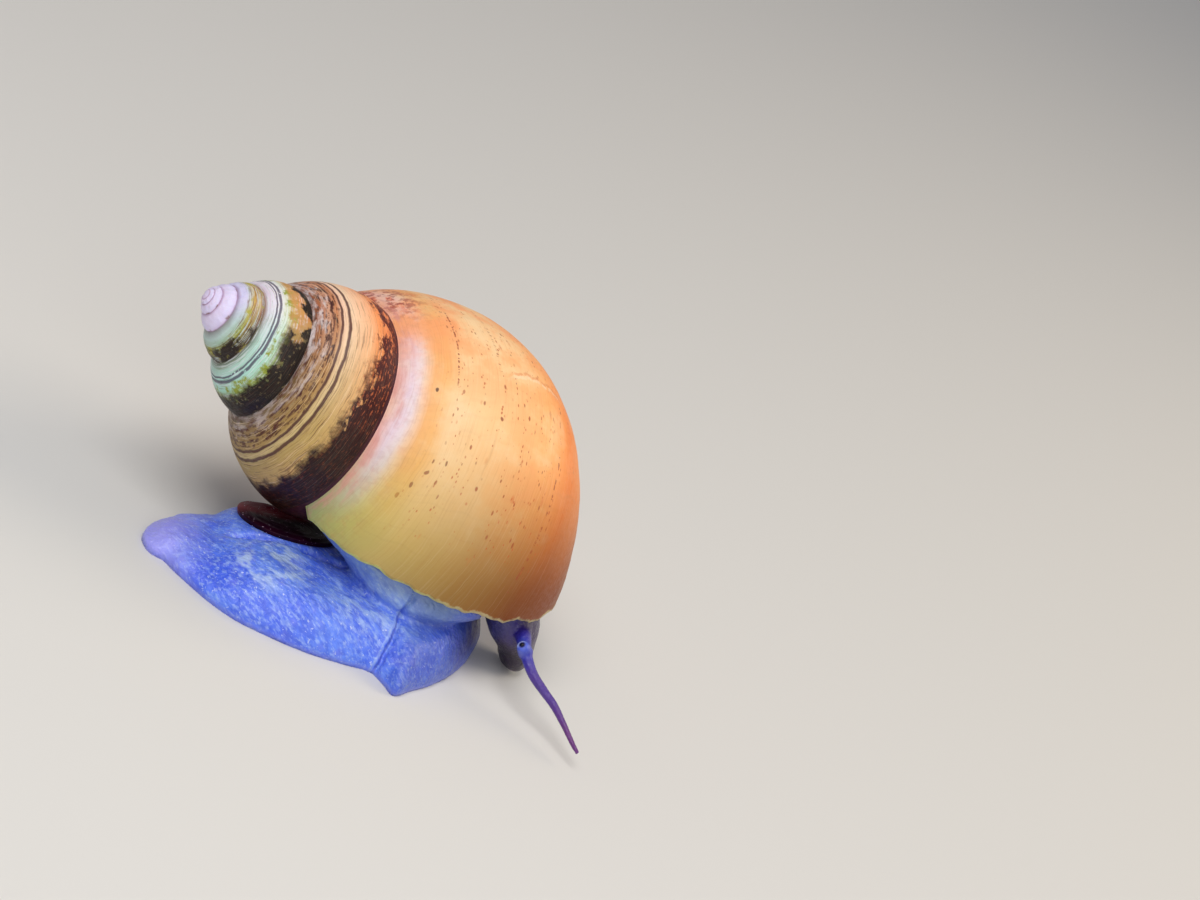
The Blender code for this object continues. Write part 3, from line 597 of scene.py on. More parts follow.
def penultimate_colour(turn, girdle, level, ragged, islands):
    """The whorl before the last: mottled above, dark lines, cream, and a ragged dark band below."""
    late = fade(turn, -1.36, -1.08)
    warm = grade(level, (
        (0.0, 112, 58, 38), (0.1, 186, 110, 70), (0.2, 220, 164, 134), (0.28, 200, 126, 80),
        (0.37, 255, 212, 182), (0.46, 255, 216, 180), (0.6, 255, 194, 150), (0.72, 255, 160, 98),
        (1.0, 232, 122, 74)))
    tan = grade(level, (
        (0.0, 66, 54, 36), (0.12, 146, 118, 74), (0.3, 176, 144, 84), (0.38, 214, 190, 132),
        (0.46, 190, 162, 96), (0.62, 206, 170, 104), (0.75, 176, 124, 62), (1.0, 120, 66, 40)))
    colour = blend(late, warm, tan)
    brown = mask_of(SPECKLE, winding(turn, level, 34, 20, 4.0), 1.0, 6.0, 0.42)
    colour = cover(colour, mask_of(BAND, ragged, 0.0, 0.27, 0.05), brown, (84, 46, 36))
    for across, down, row, share, strength, tone in PENULTIMATE_STREAKS:
        streaks = mask_of(SPECKLE, winding(turn, level, across, down, row), 1.0, 3.0, share)
        colour = cover(colour, fade(late, 0.0, 1.0, strength * 0.6, strength), streaks, tone)
    upper = times(mask_of(BAND, ragged, -0.1, 0.17, 0.05), fade(late, 0.3, 1.0, 0.85, 0.5))
    pale = mask_of(SPECKLE, winding(turn, level, 26, 16, 43.0), 1.0, 7.0, 0.42, 0.12)
    colour = cover(colour, upper, pale, (226, 212, 210))
    for middle, half, breaks, strength in PENULTIMATE_STRIPES:
        stripe = mask_of(LINE, girdle, winding(turn, girdle, 36, 4, middle * 70), middle, half, 0.036, breaks)
        colour = cover(colour, strength, stripe, (74, 34, 38))

    reach = calc("SUBTRACT", ragged, scaled(late, -0.1, 0.76))
    full = scaled(reach, scaled(late, 0.7, 1.4), scaled(late, 0.34, 0.46))
    mottle = mask_of(SPECKLE, winding(turn, level, 46, 14, 5.0), 1.0, 8.0, scaled(islands, 0.7, full))
    dark = fade(reach, -0.1, 0.02)
    colour = cover(colour, dark, mottle, blend(late, (84, 24, 24), (36, 12, 8)))
    flecks = mask_of(SPECKLE, winding(turn, level, 120, 50, 15.0), 1.0, 4.0, 0.32)
    colour = cover(colour, times(dark, fade(late, 0.55, 0.95, 0.8, 0.15)), flecks, (196, 100, 58))
    return blend(fade(girdle, 0.95, 0.975, 0.0, 0.85), colour, (66, 26, 40))


THIRD_STREAKS = ((9, 36, 12.0, 0.42, 0.6, (232, 236, 240)), (12, 44, 19.0, 0.3, 0.6, (126, 140, 96)))
THIRD_STRIPES = ((0.25, 0.018), (0.32, 0.03))


def third_colour(turn, girdle, level, ragged, islands, place):
    """The third whorl: lilac-white, two dark lines, mint green, and a black and rusty band."""
    late = fade(turn, -2.32, -2.12)
    lilac = grade(level, (
        (0.0, 160, 120, 90), (0.08, 230, 214, 232), (0.24, 250, 240, 250), (0.36, 244, 240, 236),
        (0.46, 222, 226, 196), (0.55, 222, 200, 140), (0.65, 230, 156, 90), (1.0, 200, 118, 70)))
    mint = grade(level, (
        (0.0, 84, 84, 62), (0.14, 184, 222, 208), (0.3, 186, 232, 222), (0.46, 176, 224, 202),
        (0.58, 156, 182, 110), (0.7, 104, 98, 58), (1.0, 70, 60, 44)))
    colour = blend(late, lilac, mint)
    for across, down, row, share, strength, tone in THIRD_STREAKS:
        streaks = mask_of(SPECKLE, winding(turn, level, across, down, row), 1.0, 4.0, share, 0.06)
        colour = cover(colour, strength, streaks, tone)
    moss = mask_of(SPECKLE, place, 1.4, 5.0, 0.42, 0.06)
    colour = cover(colour, mask_of(BAND, ragged, 0.42, 0.62, 0.05), moss, (150, 164, 58))
    for middle, half in THIRD_STRIPES:
        stripe = mask_of(LINE, girdle, winding(turn, girdle, 24, 3, middle * 90), middle, half, 0.05, 0.26)
        colour = cover(colour, 0.85, stripe, (66, 58, 88))

    reach = calc("SUBTRACT", ragged, scaled(late, 0.04, 0.56))
    dark = fade(reach, -0.12, 0.02)
    rust = mask_of(SPECKLE, place, 1.5, 5.0, 0.6, 0.08)
    colour = cover(colour, times(dark, 0.9), rust, blend(late, (206, 150, 84), (112, 116, 60)))
    full = scaled(reach, scaled(late, 0.4, 1.2), scaled(late, 0.42, 0.26))
    mottle = mask_of(SPECKLE, place, 0.9, 8.0, scaled(islands, 1.6, full))
    colour = cover(colour, dark, mottle, (20, 12, 8))
    crumbs = mask_of(SPECKLE, place, 3.0, 4.0, 0.24, 0.06)
    return cover(colour, times(dark, 0.4), crumbs, (160, 140, 96))


FOURTH_STREAKS = ((8, 22, 15.0, 0.42, 0.7, (204, 222, 224)), (10, 26, 33.0, 0.4, 0.8, (120, 74, 50)))


def oldest_colour(turn, level, ragged, islands, place):
    """The first whorls: lilac-white at the tip, then ochre, mint and brown streaks with a black patch."""
    lilac = grade(level, (
        (0.0, 170, 146, 180), (0.12, 224, 218, 250), (0.34, 222, 218, 246), (0.46, 206, 206, 196),
        (0.56, 216, 182, 100), (0.66, 190, 138, 74), (0.76, 224, 204, 150), (0.9, 168, 112, 84),
        (1.0, 132, 80, 60)))
    green = grade(level, (
        (0.0, 150, 150, 150), (0.22, 190, 214, 210), (0.4, 168, 200, 176), (0.52, 160, 172, 72),
        (0.66, 130, 124, 66), (0.82, 90, 84, 56), (1.0, 72, 66, 54)))
    fourth = blend(fade(turn, -3.3, -3.1), lilac, green)
    for across, down, row, share, strength, tone in FOURTH_STREAKS:
        streaks = mask_of(SPECKLE, winding(turn, level, across, down, row), 1.0, 6.0, share, 0.06)
        fourth = cover(fourth, times(fade(ragged, 0.26, 0.44), strength), streaks, tone)
    moss = mask_of(SPECKLE, place, 1.3, 5.0, 0.4, 0.06)
    fourth = cover(fourth, fade(ragged, 0.36, 0.5), moss, (176, 168, 62))
    patch = times(fade(turn, -3.3, -3.12), fade(ragged, 0.4, 0.6))
    full = scaled(fade(turn, -3.24, -3.08), 0.45, scaled(islands, 1.6, 0.12))
    fourth = cover(fourth, patch, mask_of(SPECKLE, place, 1.2, 7.0, full), (32, 24, 18))
    nucleus = grade(level, (
        (0.0, 196, 166, 200), (0.12, 234, 220, 250), (0.6, 230, 222, 255), (0.88, 226, 212, 246),
        (1.0, 166, 136, 166)))
    specks = mask_of(SPECKLE, place, 2.2, 5.0, 0.3)
    nucleus = cover(nucleus, times(fade(level, 0.72, 0.9), 0.8), specks, (140, 104, 92))
    return blend(fade(turn, -3.9, -3.6), nucleus, fourth)


def shell_surface():
    """Satin horn over lime, with spiral bands, dots, blotches, fine spiral threads and wear."""
    surface, place = new_surface("shell")
    turn, girdle, _ = parts(put("UVMap", {}, surface.node_tree, uv_map="coil").outputs[0])
    age = parts(put("UVMap", {}, surface.node_tree, uv_map="growth").outputs[0])[0]
    level = shaken(girdle, clouds_at(winding(turn, girdle, 14, 3), 1.0, 4.0), 0.06)
    ragged = shaken(level, clouds_at(place, 1.1, 7.0, 0.65), 0.34)
    islands = calc("SUBTRACT", clouds_at(place, 0.42, 2.0), 0.5)

    colour = oldest_colour(turn, level, ragged, islands, place)
    third = third_colour(turn, girdle, level, ragged, islands, place)
    colour = blend(fade(turn, -2.86, -2.6), colour, third)
    colour = blend(fade(turn, -1.86, -1.6), colour, penultimate_colour(turn, girdle, level, ragged, islands))
    body = body_marks(body_colour(turn, level, age, place), turn, girdle, level, age, place)
    colour = blend(fade(turn, -0.86, -0.55), colour, body)

    threads = clouds_at(winding(turn, level, 16, 130, 40.0), 1.0, 2.0)
    colour = blend(fade(threads, 0.52, 0.75, 0.0, 0.08), colour, (252, 232, 200))
    colour = blend(fade(threads, 0.48, 0.25, 0.0, 0.16), colour, (170, 92, 50))
    growth = clouds_at(winding(age, girdle, 170, 1.2), 1.0, 3.0)
    colour = blend(fade(growth, 0.5, 0.8, 0.0, 0.08), colour, (140, 90, 56))
    frayed = shaken(age, clouds_at(place, 0.9, 5.0, 0.7), 0.012)
    edge = times(fade(frayed, -0.0036, -0.0008), fade(age, 0.2, 0.1, 0.0, 0.85))
    colour = blend(edge, colour, blend(fade(girdle, 0.5, 1.0), (222, 222, 130), (206, 190, 140)))
    colour = blend(fade(turn, 0.4, 0.9), colour, (170, 150, 150))

    grain = clouds_at(place, 3.5, 5.0)
    height = scaled(growth, 0.15, times(threads, 0.35))
    height = scaled(grain, fade(turn, -2.2, -0.8, 1.2, 0.2), height)
    return finish_surface(surface, {
        "Base Color": colour, "Roughness": fade(grain, 0.3, 0.7, 0.4, 0.6),
        "Normal": put("Bump", {"Strength": 0.4, "Distance": 0.07 * MM, "Height": height}).outputs[0],
        "Specular IOR Level": 0.24, "Coat Weight": 0.08, "Coat Roughness": 0.3,
        "Subsurface Weight": 0.12, "Subsurface Scale": 0.6 * MM, "Subsurface Radius": (1.0, 0.6, 0.35)})


shell = bpy.data.objects.new("shell", shell_mesh())
bpy.context.collection.objects.link(shell)
shell.data.materials.append(shell_surface())
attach(shell, "root")
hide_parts("shell_body_whorl", "shell_penultimate_whorl", "shell_third_whorl", "shell_apex")

# Flesh
# One wet, soft skin over the foot, the thick stalk under the shell, the neck, head, snout, tentacles and eye
# stalks. Rough forms are laid over one another, welded into one skin, and smoothed where they meet. The
# crease, the lid's bed and fine wrinkles are then pressed into it, and its flat parts lose spare triangles.
SOLE_OUTLINE = (
    (-11.0, -1.0), (-10.6, -2.3), (-9.95, -2.7), (-9.4, -2.75), (-8.6, -3.5), (-6.4, -5.1), (-4.4, -6.0),
    (-2.0, -6.2), (0.5, -6.1), (3.0, -5.5), (4.5, -5.1), (5.4, -5.8), (6.2, -6.7), (7.4, -5.2), (8.8, -3.4),
    (10.4, -0.6), (11.4, 2.2), (11.8, 4.6), (11.2, 6.9), (9.5, 8.6), (6.8, 9.1), (3.5, 9.0), (0.0, 8.2),
    (-3.0, 6.9), (-6.0, 4.9), (-8.6, 2.9), (-10.3, 0.8),
)
SPINE_BACK = np.array((-7.0, 0.0))
SPINE_FRONT = np.array((7.5, 1.8))
RIM_HEIGHT = 0.5
TAIL_HEIGHT = 1.6
FOOT_HEIGHT = 3.6
PLATEAU_HEIGHT = 2.85
RIDGE_RISE_LENGTH = 7.0
TAIL_TIP_X = -11.6
TAIL_SLOPE_LENGTH = 3.2
TAIL_TIP_SHARE = 0.35
FOOT_FRACTIONS = (0.985, 0.96, 0.92, 0.86, 0.78, 0.68, 0.56, 0.4, 0.2, 0.03)
STALK_MIDDLE = np.array((6.2, 2.5))
STALK_INSIDE_LIP = 0.7
STALK_BASE_CENTRE = np.array((5.3, 1.9))
STALK_BASE_REACH = np.array((4.4, 4.6))
STALK_LIMITS = (-1.3, 9.8, 8.0)
# Height, share of the way from the base to the shell's mouth, or inwards where it is below 0, and width.
STALK_RINGS = (
    (1.4, -0.9, 1.0), (2.2, -0.7, 1.0), (3.0, -0.35, 1.0), (3.7, 0.2, 1.0), (4.3, 0.7, 1.0),
    (4.8, 1.0, 1.0), (5.6, 1.0, 0.9), (6.4, 1.0, 0.7), (6.8, 1.0, 0.3),
)
# Depth inside the mouth, and how wide the ring is.
MANTLE_RINGS = ((0.045, 0.9), (0.055, 1.0), (0.1, 1.0), (0.16, 1.0), (0.17, 0.9))
MANTLE_SWELL = -0.1
# Middle of each oval section, its half width and its half depth, from the neck to the snout.
HEAD_SECTIONS = (
    (10.4, 3.0, 5.9, 2.2, 1.0), (11.2, 3.0, 5.2, 2.5, 1.2), (11.8, 3.0, 4.5, 2.8, 1.6),
    (12.4, 3.0, 3.8, 2.75, 1.7), (12.9, 3.05, 3.15, 2.6, 1.65), (13.3, 3.1, 2.6, 2.35, 1.5),
    (13.6, 3.1, 2.1, 2.0, 1.3), (13.85, 3.1, 1.6, 1.75, 1.15), (14.0, 3.1, 1.1, 1.6, 1.05),
    (14.1, 3.1, 0.6, 1.35, 0.9), (14.1, 3.1, 0.3, 0.9, 0.55),
)
HEAD_MIDDLE = 3.05
HEAD_SIDES = 40
TENTACLE_RIGHT = (
    (13.0, 1.6, 3.9), (13.15, 0.0, 3.85), (13.5, -1.5, 3.55), (14.2, -2.4, 3.05), (15.2, -3.0, 2.6),
    (16.0, -3.5, 2.3), (16.9, -4.4, 1.85), (17.7, -5.3, 1.4), (18.2, -5.9, 1.2),
)
TENTACLE_LEFT = (
    (13.0, 4.6, 3.9), (13.15, 6.1, 3.85), (13.3, 7.4, 3.55), (13.6, 8.6, 3.15), (14.0, 9.8, 2.75),
    (14.5, 10.9, 2.35), (15.0, 12.0, 1.95), (15.5, 12.9, 1.6), (15.8, 13.4, 1.4),
)
TENTACLE_STEPS = 6
TENTACLE_TIP_RADIUS = 0.14
TENTACLE_SLENDER = 0.32
TENTACLE_ROOT = 0.26
TUBE_SIDES = 16
EYE_STATION = 11
EYE_OUTWARD = {"right": (-0.28, -0.82, 0.33), "left": (-0.28, 0.82, 0.33)}
EYE_STALK_REACH = 0.96
EYE_STALK_RADIUS = 0.44
# Share of the stalk's length, and its width there.
EYE_STALK_RINGS = ((0.0, 1.15), (0.5, 1.0), (0.8, 0.92), (0.93, 0.8), (1.0, 0.55))
LID_CENTRE = np.array((-2.65, 3.6, 2.46))
LID_REACH = (3.2, 2.8)
LID_TURN = Matrix.Rotation(math.radians(-6.0), 3, "Y") @ Matrix.Rotation(math.radians(-12.0), 3, "X")
LID_BED = -0.2
CREASE_X = 4.8
CREASE_LEAN = 0.12
# The crease's ridge and its groove: how far forward, half width, and how far out.
CREASE_FORM = ((-0.26, 0.2, 0.09), (0.0, 0.15, -0.26))
# Depth of the wrinkles, and how close together they are.
WRINKLES = ((0.07, 0.55), (0.045, 1.5), (0.02, 4.0))
WRINKLES_TO_HEIGHT = 4.9
VOXEL = 0.1
SOFT_ROUNDS = 14
EYE_CLEARANCE = 0.8
HEAD_BACK = 12.2
HEAD_SIDE = 2.6
SNOUT_END = 14.9
# The valley round the stalk that is smoothed further, and the ridge of the tail.
VALLEY_ROUNDS = 70
VALLEY_BACK, VALLEY_FRONT = -1.5, 10.4
VALLEY_LOW, VALLEY_HIGH = 1.9, 4.5
RIDGE_FRONT, RIDGE_LOW = -1.0, 1.4
KEPT_SHARE = 0.69


def smooth_line(points, steps, closed=False):
    """Points on a smooth curve through the given points, open or closed."""
    line = np.array(points, dtype=float)
    if closed:
        ends = np.concatenate([line[-1:], line, line[:2]])
    else:
        ends = np.concatenate([2 * line[:1] - line[1:2], line, 2 * line[-1:] - line[-2:-1]])
    out = []
    for a, b, c, d in zip(ends, ends[1:], ends[2:], ends[3:]):
        for u in np.arange(steps) / steps:
            out.append(0.5 * (2 * b + (c - a) * u + (2 * a - 5 * b + 4 * c - d) * u ** 2
                              + (3 * b - a - 3 * c + d) * u ** 3))
    return np.array(out if closed else out + [line[-1]])


def add_loft(work, rings):
    """Add a closed body through rings of points."""
    loops = [[work.verts.new(point) for point in ring] for ring in rings]
    for lower, upper in zip(loops, loops[1:]):
        for i in range(len(lower)):
            j = (i + 1) % len(lower)
            work.faces.new((lower[i], lower[j], upper[j], upper[i]))
    work.faces.new(loops[0][::-1])
    work.faces.new(loops[-1])


def foot_ring(outline, fraction, height=None):
    """The sole's outline drawn in towards the spine, at the height that the foot has there."""
    place = np.clip(outline[:, 0], SPINE_BACK[0], SPINE_FRONT[0])
    share = (place - SPINE_BACK[0]) / (SPINE_FRONT[0] - SPINE_BACK[0])
    spine = SPINE_BACK + (SPINE_FRONT - SPINE_BACK) * share[:, None]
    rise = np.clip((place - SPINE_BACK[0]) / RIDGE_RISE_LENGTH, 0, 1)
    ridge = TAIL_HEIGHT + (FOOT_HEIGHT - TAIL_HEIGHT) * np.sin(rise * math.pi / 2)
    crown = np.minimum(RIM_HEIGHT + (ridge - RIM_HEIGHT) * (1 - fraction ** 3) ** 0.8, PLATEAU_HEIGHT)
    from_tip = (outline[:, 0] * fraction - TAIL_TIP_X) / TAIL_SLOPE_LENGTH
    crown = RIM_HEIGHT + (crown - RIM_HEIGHT) * np.clip(from_tip, TAIL_TIP_SHARE, 1)
    level = crown if height is None else np.full_like(place, height)
    return np.column_stack([spine + (outline - spine) * fraction, level])


def stalk_rings():
    """Rings from inside the foot up into the shell, drawn in a little from the lip."""
    mouth = aperture_ring(0.0, 0.0)[:, :2]
    inward = (STALK_MIDDLE - mouth) * STALK_INSIDE_LIP / np.linalg.norm(mouth - STALK_MIDDLE, axis=1)[:, None]
    mouth = mouth + inward
    angle = np.arctan2(mouth[:, 1] - STALK_MIDDLE[1], mouth[:, 0] - STALK_MIDDLE[0])
    base = STALK_BASE_CENTRE + STALK_BASE_REACH * np.column_stack([np.cos(angle), np.sin(angle)])
    rings = []
    for height, share, narrow in STALK_RINGS:
        flat = base + (mouth - base) * max(share, 0.0) - (STALK_MIDDLE - base) * min(share, 0.0) * 0.3
        flat = STALK_MIDDLE + (flat - STALK_MIDDLE) * narrow
        flat[:, 0] = np.clip(flat[:, 0], STALK_LIMITS[0], STALK_LIMITS[1])
        flat[:, 1] = np.minimum(flat[:, 1], STALK_LIMITS[2])
        rings.append(np.column_stack([flat, np.full(len(flat), height)]))
    return rings


def mantle_rings():
    """Rings of the mantle, which fills the mouth of the shell a little way inside the lip."""
    rings = []
    for depth, narrow in MANTLE_RINGS:
        ring = aperture_ring(depth, MANTLE_SWELL)
        middle = ring.mean(axis=0)
        rings.append(middle + (ring - middle) * narrow)
    return rings


def around(sides):
    """Angles round a ring, as a column."""
    return np.linspace(0, 2 * math.pi, sides, endpoint=False)[:, None]


def head_rings():
    """Oval sections down the line of the neck, head and snout."""
    line = smooth_line(HEAD_SECTIONS, 3)
    angle = around(HEAD_SIDES)
    rings = []
    for i, (x, y, z, half_width, half_depth) in enumerate(line):
        along = line[min(i + 1, len(line) - 1)] - line[max(i - 1, 0)]
        depth_way = np.array((-along[2], 0, along[0])) / math.hypot(along[2], along[0])
        rings.append(np.array((x, y, z)) + half_width * np.cos(angle) * (0, 1, 0)
                     + half_depth * np.sin(angle) * depth_way)
    return rings


def tube_rings(path, radii):
    """Round sections along a path, each with its own radius."""
    angle = around(TUBE_SIDES)
    rings = []
    for i, point in enumerate(path):
        along = path[min(i + 1, len(path) - 1)] - path[max(i - 1, 0)]
        level = np.cross(along, (0, 0, 1))
        level /= np.linalg.norm(level)
        rise = np.cross(level, along / np.linalg.norm(along))
        rings.append(point + radii[i] * (np.cos(angle) * level + np.sin(angle) * rise))
    return rings


def tentacle_radius(share):
    """Radius at a share of the tentacle's length, thick at the root and slender from there."""
    return (TENTACLE_TIP_RADIUS + TENTACLE_SLENDER * (1 - share) ** 0.9
            + TENTACLE_ROOT * np.exp(-(share / 0.16) ** 2))


def eye_place(points, outward):
    """The root and the tip of an eye stalk, on the outer side of a tentacle's root."""
    path = smooth_line(points, TENTACLE_STEPS)
    along = path[EYE_STATION + 1] - path[EYE_STATION - 1]
    along /= np.linalg.norm(along)
    way = np.array(outward) - along * np.dot(outward, along)
    return path[EYE_STATION], path[EYE_STATION] + way / np.linalg.norm(way) * EYE_STALK_REACH


EYES = {"right": eye_place(TENTACLE_RIGHT, EYE_OUTWARD["right"]),
        "left": eye_place(TENTACLE_LEFT, EYE_OUTWARD["left"])}


def rough_flesh():
    """The rough forms of the flesh as overlapping closed bodies."""
    work = bmesh.new()
    outline = smooth_line(SOLE_OUTLINE, 5, closed=True)
    rings = [foot_ring(outline, 0.97, 0.0), foot_ring(outline, 1.0, RIM_HEIGHT * 0.4)]
    add_loft(work, rings + [foot_ring(outline, fraction) for fraction in FOOT_FRACTIONS])
    for rings in (stalk_rings(), mantle_rings(), head_rings()):
        add_loft(work, rings)
    for points in (TENTACLE_RIGHT, TENTACLE_LEFT):
        path = smooth_line(points, TENTACLE_STEPS)
        lengths = np.concatenate([[0], np.cumsum(np.linalg.norm(np.diff(path, axis=0), axis=1))])
        add_loft(work, tube_rings(path, tentacle_radius(lengths / lengths[-1])))
    shares, widths = np.array(EYE_STALK_RINGS).T
    for root, tip in EYES.values():
        add_loft(work, tube_rings(root + (tip - root) * shares[:, None], EYE_STALK_RADIUS * widths))
    bmesh.ops.recalc_face_normals(work, faces=work.faces)
    mesh = bpy.data.meshes.new("flesh")
    work.to_mesh(mesh)
    work.free()
    return mesh


def apply_step(item, kind, **settings):
    """Add a modifier to the active object and apply it."""
    step = item.modifiers.new(kind.lower(), kind)
    for name, value in settings.items():
        setattr(step, name, value)
    bpy.ops.object.modifier_apply(modifier=step.name)


def soft_share(point):
    """How much a point is smoothed: fully on the foot and head, hardly at the tentacles and eyes."""
    if any(np.linalg.norm(point - tip) < EYE_CLEARANCE for _, tip in EYES.values()):
        return 0.15
    if point[0] <= HEAD_BACK:
        return 1.0
    return max(1.0 - max(abs(point[1] - HEAD_MIDDLE) - HEAD_SIDE, (point[0] - SNOUT_END) * 2, 0.0), 0.12)


def valley_share(point):
    """How much a point is smoothed further: below the thick stalk, and along the ridge of the tail."""
    x, _, z = point
    along = clamp(x - VALLEY_BACK) * clamp((VALLEY_FRONT - x) / 0.8)
    valley = along * clamp((z - VALLEY_LOW) / 0.5) * clamp((VALLEY_HIGH - z) / 0.4)
    return max(valley, clamp((RIDGE_FRONT - x) / 0.5) * clamp((z - RIDGE_LOW) / 0.4))


def smooth_skin(item, name, share_of, iterations):
    """Smooth the skin, each point as much as a function of its place says."""
    shares = item.vertex_groups.new(name=name)
    for vert in item.data.vertices:
        shares.add([vert.index], float(share_of(np.array(vert.co))), "REPLACE")
    apply_step(item, "SMOOTH", factor=0.5, iterations=iterations, vertex_group=name)


def wrinkle(x, y, z):
    """How far out the skin stands: wrinkles all over, and the crease across the right side of the foot."""
    push = sum(depth * noise.noise(Vector((x, y, z)) * close) for depth, close in WRINKLES)
    if y < 1.0:
        along = x - CREASE_X - CREASE_LEAN * (z - 1.0) - 0.15 * noise.noise(Vector((z * 1.5, y, 2.0)))
        push += sum(out * math.exp(-((along - at) / half) ** 2) for at, half, out in CREASE_FORM)
    return push


def press_skin(points, normals):
    """Work the wrinkles, the crease, the lid's bed and the flat sole into the skin's points."""
    turn = np.array(LID_TURN)
    for i, (point, normal) in enumerate(zip(points, normals)):
        x, y, z = point
        upward = clamp(z / 0.5) * clamp(1.4 + normal[2]) * clamp((WRINKLES_TO_HEIGHT - z) / 0.6)
        beyond_head = x > 14.4 or abs(y - HEAD_MIDDLE) > 2.8 and x > 12.4
        moved = point + normal * wrinkle(x, y, z) * upward * (0.25 if beyond_head else 1.0)
        local = (moved - LID_CENTRE) @ turn
        across = math.hypot(local[0] / LID_REACH[0], local[1] / LID_REACH[1])
        limit = 1.12 + 0.3 * clamp(-1.0 - x)
        if normal[2] > 0.1 and z > 0.4 and across < limit:
            share = clamp((limit - across) / (limit - 0.95))
            share *= share * (3 - 2 * share)
            local[2] += (LID_BED - local[2]) * share
            moved = LID_CENTRE + turn @ local
        if moved[2] < 0.09 or z < 0.12 and normal[2] < -0.4:
            moved[2] = 0.0
        points[i] = moved


def skin_piece():
    """One welded skin, smoothed and worked, with a flat sole."""
    item = bpy.data.objects.new("flesh", rough_flesh())
    bpy.context.collection.objects.link(item)
    bpy.ops.object.select_all(action="DESELECT")
    item.select_set(True)
    bpy.context.view_layer.objects.active = item
    apply_step(item, "REMESH", mode="VOXEL", voxel_size=VOXEL, use_smooth_shade=True)
    smooth_skin(item, "soft", soft_share, SOFT_ROUNDS)
    smooth_skin(item, "valley", valley_share, VALLEY_ROUNDS)
    mesh = item.data
    points = np.empty(len(mesh.vertices) * 3)
    normals = np.empty(len(mesh.vertices) * 3)
    mesh.vertices.foreach_get("co", points)
    mesh.vertex_normals.foreach_get("vector", normals)
    press_skin(points.reshape(-1, 3), normals.reshape(-1, 3))
    mesh.vertices.foreach_set("co", points)
    mesh.update()
    item.vertex_groups.clear()
    apply_step(item, "DECIMATE", ratio=KEPT_SHARE)
    item.data.transform(Matrix.Scale(MM, 4))
    item.data.update()
    return item


def head_colour(colour, place, x, y, z):
    """Dark violet over the head and snout, partly their own tone and partly painted shade, blue to purple
    along the tentacles, and rings round the eyes with a painted highlight.
    """
    # Dark violet over the head and snout: their own dark tone, deepened with painted shade under the shell.
    head = fade(x, 11.6, 12.6)
    colour = blend(head, colour, (44, 14, 78))
    # Painted shade: darker still low down, on the underside of the head and snout.
    colour = blend(times(fade(z, 3.2, 1.6), head), colour, (30, 6, 44))
    beyond = calc("MAXIMUM", times(fade(y, 0.9, -0.6), head), times(fade(y, 5.3, 6.8), head))
    colour = blend(beyond, colour, (50, 44, 160))
    for start, end, tone in ((-1.8, -2.9, (72, 26, 136)), (-3.0, -5.4, (104, 24, 112)),
                             (7.8, 9.4, (72, 26, 136)), (9.6, 12.8, (104, 24, 112))):
        colour = cover(colour, 0.85, times(fade(y, start, end), head), tone)
    for root, tip in EYES.values():
        inward = math.copysign(1.0, 3 - root[1])
        away = distance(place, root * 0.1 + tip * 0.9 + np.array((-0.3, 0.15 * inward, 0.12)))
        colour = blend(fade(away, 1.3, 0.5, 0.0, 0.7), colour, (80, 110, 226))
        # Painted highlight: a small lilac-white spot up, back and inward from the eye, inside the pale blue
        # patch of the stalk.
        colour = blend(fade(away, 0.5, 0.2), colour, (184, 198, 252))
        colour = blend(fade(distance(place, tip), 0.26, 0.18), colour, (40, 50, 140))
    return colour


